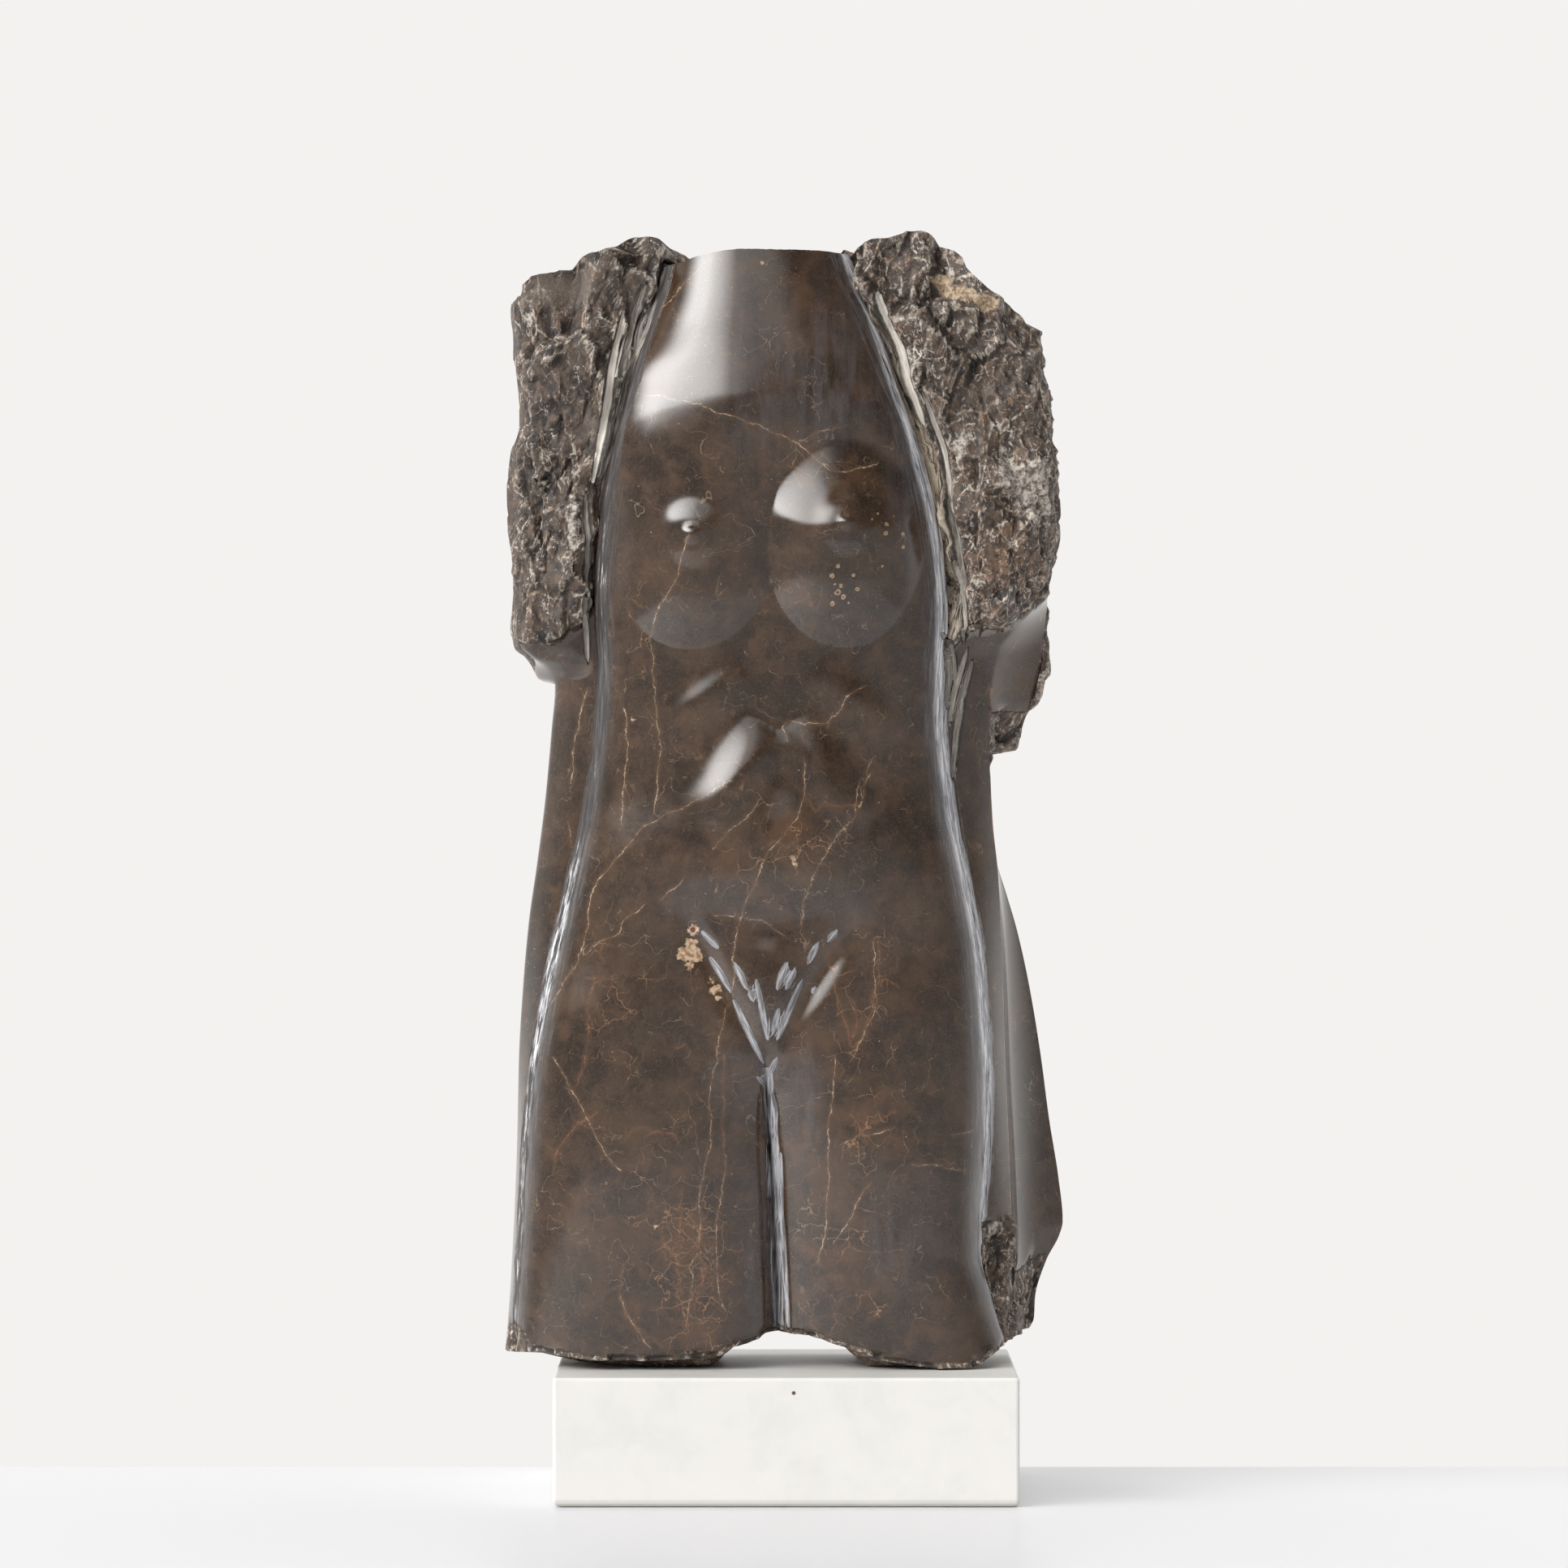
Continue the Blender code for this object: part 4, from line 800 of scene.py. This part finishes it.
    def spots(places):
        """Distance in cm to the edge of the nearest of some round spots."""
        found = None
        for across, level, radius in places:
            middle = (across * UNIT * 100, 0.0, (level * UNIT + PLINTH_HEIGHT) * 100)
            away = p.vector("DISTANCE", flat, middle, output="Value") - radius
            found = away if found is None else p.least(found, away)
        return found

    ragged = (p.noise(cm, 3.0, 4.0, 0.7) - 0.5) * 0.9
    patch = spots([(-8.1, 38.4, 0.26), (-8.3, 37.2, 0.34), (-8.8, 36.4, 0.36), (-7.8, 36.3, 0.34),
                   (-8.4, 35.4, 0.20), (-6.4, 34.0, 0.16), (-6.2, 33.3, 0.22), (-5.9, 32.6, 0.14),
                   (-11.3, 12.7, 0.05), (-13.4, 56.9, 0.10), (0.55, 44.9, 0.09), (0.65, 44.2, 0.08)])
    patch = (1 - p.step(patch + ragged, -0.06, 0.05)) * front
    body = p.mix(patch * 0.92, body, p.mix(p.step(p.noise(cm, 5.0, 2.0), 0.35, 0.65),
                                           tone(152, 116, 84), tone(214, 188, 158)))
    hole = (1 - p.step(spots([(-8.15, 38.5, 0.13)]), -0.03, 0.03)) * front
    body = p.mix(hole, body, tone(104, 42, 28))
    crinoids = spots([(8.8, 73.9, 0.10), (8.7, 73.1, 0.11), (10.2, 73.1, 0.09), (10.2, 71.9, 0.09),
                      (4.5, 70.2, 0.10), (4.0, 69.3, 0.11), (4.5, 67.9, 0.16), (4.0, 66.9, 0.12),
                      (5.9, 69.4, 0.10), (6.2, 68.2, 0.12), (5.0, 67.5, 0.12), (4.8, 68.5, 0.10),
                      (8.4, 70.2, 0.06), (8.0, 74.8, 0.06), (-2.1, 96.9, 0.10), (7.5, 74.3, 0.06),
                      (4.2, 68.6, 0.08), (5.4, 67.0, 0.05), (9.4, 74.6, 0.04)])
    ring = (1 - p.step(crinoids + ragged * 0.34 + 0.02, -0.03, 0.03)) * front
    core = p.step(crinoids + ragged * 0.1, -0.10, -0.06)
    body = p.mix(ring * 0.85, body, p.mix(core, tone(98, 62, 42), p.mix(mottle, tone(126, 92, 62), tone(226, 198, 158))))

    # Bruised stone along the grooves and the crease between the thighs, in fine streaks.
    beside = p.mark("beside")
    right = p.mark("right")
    along = p.node("CombineXYZ", {}, {0: beside * 0.6, 1: height * 0.3, 2: 0.0})
    streaks = p.noise(along, 1.5, 4.0, 0.72)
    wisps = p.noise(p.node("CombineXYZ", {}, {0: beside * 0.55, 1: height * 0.8, 2: 7.0}), 1.0, 4.0, 0.6)
    bruise = 1 - p.step(p.mark("bruise") + (streaks - 0.5) * 9.0, -0.8, 0.8)
    # Grey haze on the body beside the grooves: partly slate bruising of the stone, partly a painted reflection of
    # the bright room along the body's side.
    slate_haze_and_reflection = 1 - p.step(p.mark("body_side") + (wisps - 0.5) * 14.0 - right * 1.5, -1.0, 7.0)
    slate_haze_and_reflection = slate_haze_and_reflection * p.step(p.mark("body_side"), -6.0, -2.0) * p.step(p.mark("chalk"), -1.6, 0.3)
    body = p.mix(slate_haze_and_reflection * 0.55, body, p.mix(p.step(streaks, 0.42, 0.66), tone(50, 47, 49), tone(118, 117, 121)))
    white = p.step(streaks + p.mark("chalk") * 0.14 + (wisps - 0.5) * 0.5 + right * 0.08, 0.52, 0.66)
    slate = p.mix(p.step(streaks, 0.42, 0.60), tone(32, 28, 27), tone(84, 79, 78))
    chalk = p.mix(white, slate, p.mix(p.step(streaks, 0.46, 0.60), tone(168, 168, 174), tone(246, 246, 247)))
    body = p.mix(bruise * 0.92, body, chalk)
    inner = p.noise(p.node("CombineXYZ", {}, {0: x * 5.0, 1: height * 0.35, 2: 4.0}), 1.3, 3.0, 0.7)
    crease = 1 - p.step(p.mark("crease") + (inner - 0.5) * 11.0, -1.0, 1.0)
    body = p.mix(crease * 0.85, body, p.mix(p.step(inner, 0.38, 0.62), tone(196, 196, 198), tone(88, 88, 96)))
    # Painted glow: an orange line along the sharp right arris stands for light shining through the thin edge.
    arris_glow = (1 - p.step(p.mark("arris_glow") + ragged, 0.3, 0.9)) * p.step(mottle, 0.44, 0.60) * 0.55
    body = p.mix(arris_glow, body, tone(140, 104, 78))

    # Broken stone, with pale bruised crests, painted shade in its hollows and weathered patches.
    rough = p.step(p.mark("rough") + (p.noise(cm, 3.0, 4.0) - 0.5) * 0.35, 0.42, 0.56)
    crests_and_shaded_hollows = p.mark("crests_and_shaded_hollows")
    smooth = p.mark("smooth")
    broken = 1 - smooth * 0.85
    tall = p.vector("MULTIPLY", bent, (1.0, 1.0, 0.7))
    scars = p.noise(tall, 2.2, 4.0, 0.75)
    tatter = p.noise(cm, 2.6, 4.0, 0.7) - 0.5
    stone = p.mix(p.step(p.noise(cm, 1.3, 5.0, 0.78) + right * 0.02, 0.36, 0.64),
                  tone(30, 20, 14), tone(98, 79, 64))
    stone = p.mix(smooth * 0.8, stone, p.mix(p.step(grain, 0.3, 0.8), tone(78, 65, 54), tone(120, 103, 87)))
    stone = p.mix(p.step(p.mark("rusty") * 0.4 + scars + tatter * 0.8, 0.70, 0.90) * 0.55, stone,
                  tone(134, 98, 66))
    jags = p.node("TexNoise", {}, {"Vector": cm, "Scale": 1.3, "Detail": 4.0, "Roughness": 0.6}, 1)
    jags = p.node("VectorMath", {"operation": "MULTIPLY_ADD"},
                  {0: jags, 1: (0.4, 0.4, 0.4), 2: p.vector("MULTIPLY", cm, (1.0, 1.0, 0.6))})
    scoops = 0.0
    for scale, wide, deep, share in ((0.5, 0.030, 2.4, 0.95), (1.15, 0.040, 1.3, 0.9), (2.7, 0.06, 0.5, 0.5)):
        ridge = 1 - p.step(p.cells(jags, scale, "DISTANCE_TO_EDGE"), wide * 0.2, wide)
        ridge = ridge * p.step(p.noise(tall, scale * 0.5 + 0.2, 3.0, 0.6), 0.50, 0.58)
        ridge = ridge * (p.step(p.noise(cm, 6.0, 2.0, 0.6), 0.42, 0.54) * 0.7 + 0.3)
        stone = p.mix(ridge * broken * share, stone,
                      p.mix(p.step(scars, 0.40, 0.56), tone(158, 124, 94), tone(218, 209, 196)))
        scoops = p.cells(jags, scale) * deep + scoops
    flecks = p.step(p.noise(tall, 4.6, 3.0, 0.8), 0.55, 0.63) * p.step(p.noise(tall, 1.1, 3.0, 0.6) + right * 0.16,
                                                                       0.49, 0.62)
    stone = p.mix(flecks * broken * 0.85, stone, p.mix(p.step(scars, 0.42, 0.60), tone(160, 128, 98),
                                                       tone(214, 207, 198)))
    scratchy = p.step(p.noise(tall, 5.0, 2.0, 0.7), 0.44, 0.58) * 0.7 + 0.3
    stone = p.mix(p.step(crests_and_shaded_hollows + (grain - 0.5) * 0.5 + tatter * 0.9, 0.24, 0.60) * broken * scratchy * 0.6,
                  stone, tone(206, 196, 182))
    # Painted shade: the hollows of the broken stone are darkened where shade falls in them.
    stone = p.mix(p.step(0 - crests_and_shaded_hollows, 0.06, 0.34) * 0.75, stone, tone(30, 22, 16))
    stone = p.mix(p.step(p.mark("tan") + tatter * 0.9, 0.42, 0.56) * 0.85, stone,
                  p.mix(p.step(p.noise(cm, 4.0, 3.0, 0.75), 0.4, 0.6), tone(132, 106, 78), tone(202, 180, 148)))
    stone = p.mix(p.step(p.mark("scuffed") + tatter * 1.3, 0.42, 0.60) * 0.85, stone,
                  p.mix(p.step(p.noise(cm, 3.6, 3.0, 0.78), 0.38, 0.62), tone(96, 80, 68), tone(216, 207, 195)))
    body = p.mix(rough, body, stone)
    fibres = 1 - p.step(p.mark("fibres") + (streaks - 0.5) * 10.0, -0.8, 0.8)
    body = p.mix(fibres * 0.94, body, p.mix(p.step(streaks + tatter * 0.12, 0.42, 0.56), tone(56, 41, 30),
                                            tone(214, 199, 178)))

    # Chisel strokes.
    side = p.mark("stroke_side")
    scratch = p.noise(p.node("CombineXYZ", {}, {0: side * 1.5, 1: height * 0.5, 2: 3.0}), 1.0, 3.0, 0.7)
    stroke = 1 - p.step(abs(side) + (scratch - 0.5) * (1.6 - rough * 1.0), 0.65, 1.0)
    stroke = stroke * (1 - p.step(p.mark("stroke_near"), 1.1, 1.5))
    pale = p.mix(p.mark("stroke_pale"), tone(112, 92, 76), tone(243, 236, 225))
    pale = p.mix(p.step(p.mark("stroke_pale"), -0.9, -0.1), tone(192, 192, 198), pale)
    # Painted shadow: a dark edge round each stroke in the broken stone stands for the shadow cast by the gouge's
    # walls.
    rim = p.step(p.mark("stroke_near"), 0.7, 1.1) * (1 - p.step(p.mark("stroke_near"), 1.3, 1.7))
    body = p.mix(rim * p.step(p.mark("stroke_pale"), -0.9, -0.1) * 0.85, body, tone(34, 28, 24))
    light = p.most(p.step(scratch, 0.42, 0.60) * 0.85 + 0.15, p.mark("stroke_pale") * 0.75)
    body = p.mix(stroke * 0.95, body, p.mix(light, tone(62, 56, 52), pale))

    worn = p.most(p.most(bruise, crease), p.most(fibres, stroke))
    matte = p.most(rough, worn * 0.85)
    gloss = 0.12 + p.step(mottle, 0.3, 0.8) * 0.04 + slate_haze_and_reflection * 0.16 + patch * 0.12
    roughness = gloss + (0.66 - gloss) * matte
    pits = (scoops + scars * 0.5 + p.noise(cm, 9.0, 2.0, 0.7) * 0.35) * rough * (1 - smooth * 0.75)
    pits = pits + streaks * worn * 0.5 + grain * 0.004
    bump = p.node("Bump", {}, {"Strength": 0.7, "Distance": 0.0014, "Height": pits})
    return p.finish(p.node("BsdfPrincipled", {}, {"Base Color": body, "Roughness": roughness,
                                                  "Normal": bump, "IOR": 1.72}))


def marble():
    p = Paint(bpy.data.materials.new("white marble"))
    where = p.node("TexCoord", output="Object")
    cm = p.vector("MULTIPLY", where, (100.0, 100.0, 100.0))
    wander = p.node("TexNoise", {}, {"Vector": cm, "Scale": 0.5, "Detail": 3.0}, 1)
    bent = p.node("VectorMath", {"operation": "MULTIPLY_ADD"}, {0: wander, 1: (2.0, 2.0, 2.0), 2: cm})
    cloud = p.noise(bent, 0.32, 5.0, 0.6)
    stone = p.mix(p.step(cloud, 0.42, 0.72), tone(236, 234, 230), tone(229, 228, 224))
    wisps = p.step(p.noise(bent, 1.2, 5.0, 0.65), 0.62, 0.78)
    stone = p.mix(wisps * 0.12, stone, tone(182, 182, 179))
    warm = p.step(p.noise(cm, 0.5, 3.0), 0.56, 0.75)
    stone = p.mix(warm * 0.12, stone, tone(224, 216, 194))
    height = p.node("SeparateXYZ", {}, {0: cm}, 2)
    # Darker towards the bottom, over the chamfer round the underside.
    foot = 1 - p.step(height, 0.10, 0.45)
    stone = p.mix(foot * 0.35, stone, tone(170, 164, 148))
    pit = p.vector("DISTANCE", cm, (0.35, -7.5, 5.3), output="Value")
    stone = p.mix(1 - p.step(pit, 0.06, 0.12), stone, tone(84, 62, 44))
    grain = p.noise(cm, 12.0, 4.0, 0.7)
    bump = p.node("Bump", {}, {"Strength": 0.15, "Distance": 0.0006, "Height": grain})
    return p.finish(p.node("BsdfPrincipled", {}, {"Base Color": stone, "Roughness": 0.34 + grain * 0.12,
                                                  "Normal": bump}))


LIGHT = 11.0                         # brightness of the soft light against the backdrop


def table_top():
    p = Paint(bpy.data.materials.new("table top"))
    where = p.node("TexCoord", output="Object")
    tint = p.mix(p.noise(where, 3.0), tone(226, 226, 229), tone(229, 229, 232))
    bump = p.node("Bump", {}, {"Strength": 0.05, "Distance": 0.0005, "Height": p.noise(where, 60.0)})
    return p.finish(p.node("BsdfPrincipled", {}, {"Base Color": tint, "Roughness": 0.32, "Normal": bump}))


def add_studio():
    """Pale table, pale backdrop, darker room in front, and one large soft light at the front left."""
    bpy.ops.mesh.primitive_cube_add(size=1, location=(0, -0.85, -0.015))
    table = bpy.context.object
    table.name = "table"
    table.dimensions = (2.4, 1.9, 0.03)
    bpy.ops.object.transform_apply(location=True, rotation=False, scale=True)
    table.data.materials.append(table_top())

    p = Paint(bpy.data.worlds.new("studio"))
    way = p.node("TexCoord", output="Generated")
    x, y, z = (p.node("SeparateXYZ", {}, {0: way}, i) for i in range(3))
    turn = p.math("ARCTAN2", x, 0 - y) * (180 / math.pi)
    height = p.math("ARCSINE", z) * (180 / math.pi)
    rising = p.step(height, 15, 21) * (1 - p.step(height, 32, 46))
    box = p.step(turn, -94, -66) * p.node("MapRange", {}, {0: turn, 1: -52.0, 2: -10.0, 3: 1.0, 4: 0.0})
    panel = p.step(turn, -50, -20) * (1 - p.step(turn, -8, 20)) * 0.14
    room = 0.10 + p.step(y, -0.3, 0.5) * 0.70 + (1 - p.step(z, 0.0, 0.36)) * 0.42
    bright = room + (box + panel) * rising * LIGHT + p.step(z, 0.72, 0.95) * 0.8
    light = p.node("CombineColor", {}, {0: bright, 1: bright * 0.995, 2: bright * 0.985})
    seen = p.node("LightPath", output="Is Camera Ray")
    colour = p.mix(seen, light, tone(244, 242, 240))
    bpy.context.scene.world = p.finish(p.node("Background", {}, {"Color": colour}), "OutputWorld")


def add_camera():
    """Level camera straight in front, as the photograph was taken."""
    camera = bpy.data.cameras.new("camera")
    camera.sensor_width = 36.0
    camera.lens = 145.3
    eye = bpy.data.objects.new("camera", camera)
    eye.location = (-0.001, -3.0, 0.3345)
    eye.rotation_euler = (math.pi / 2, 0, 0)
    bpy.context.scene.collection.objects.link(eye)
    bpy.context.scene.camera = eye


solids_box = [list(corner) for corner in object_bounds()]
add_torso(limestone())
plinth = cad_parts["plinth"]
plinth.data.materials.clear()
plinth.data.materials.append(marble())
add_studio()
add_camera()
bpy.context.scene.view_settings.view_transform = "Standard"
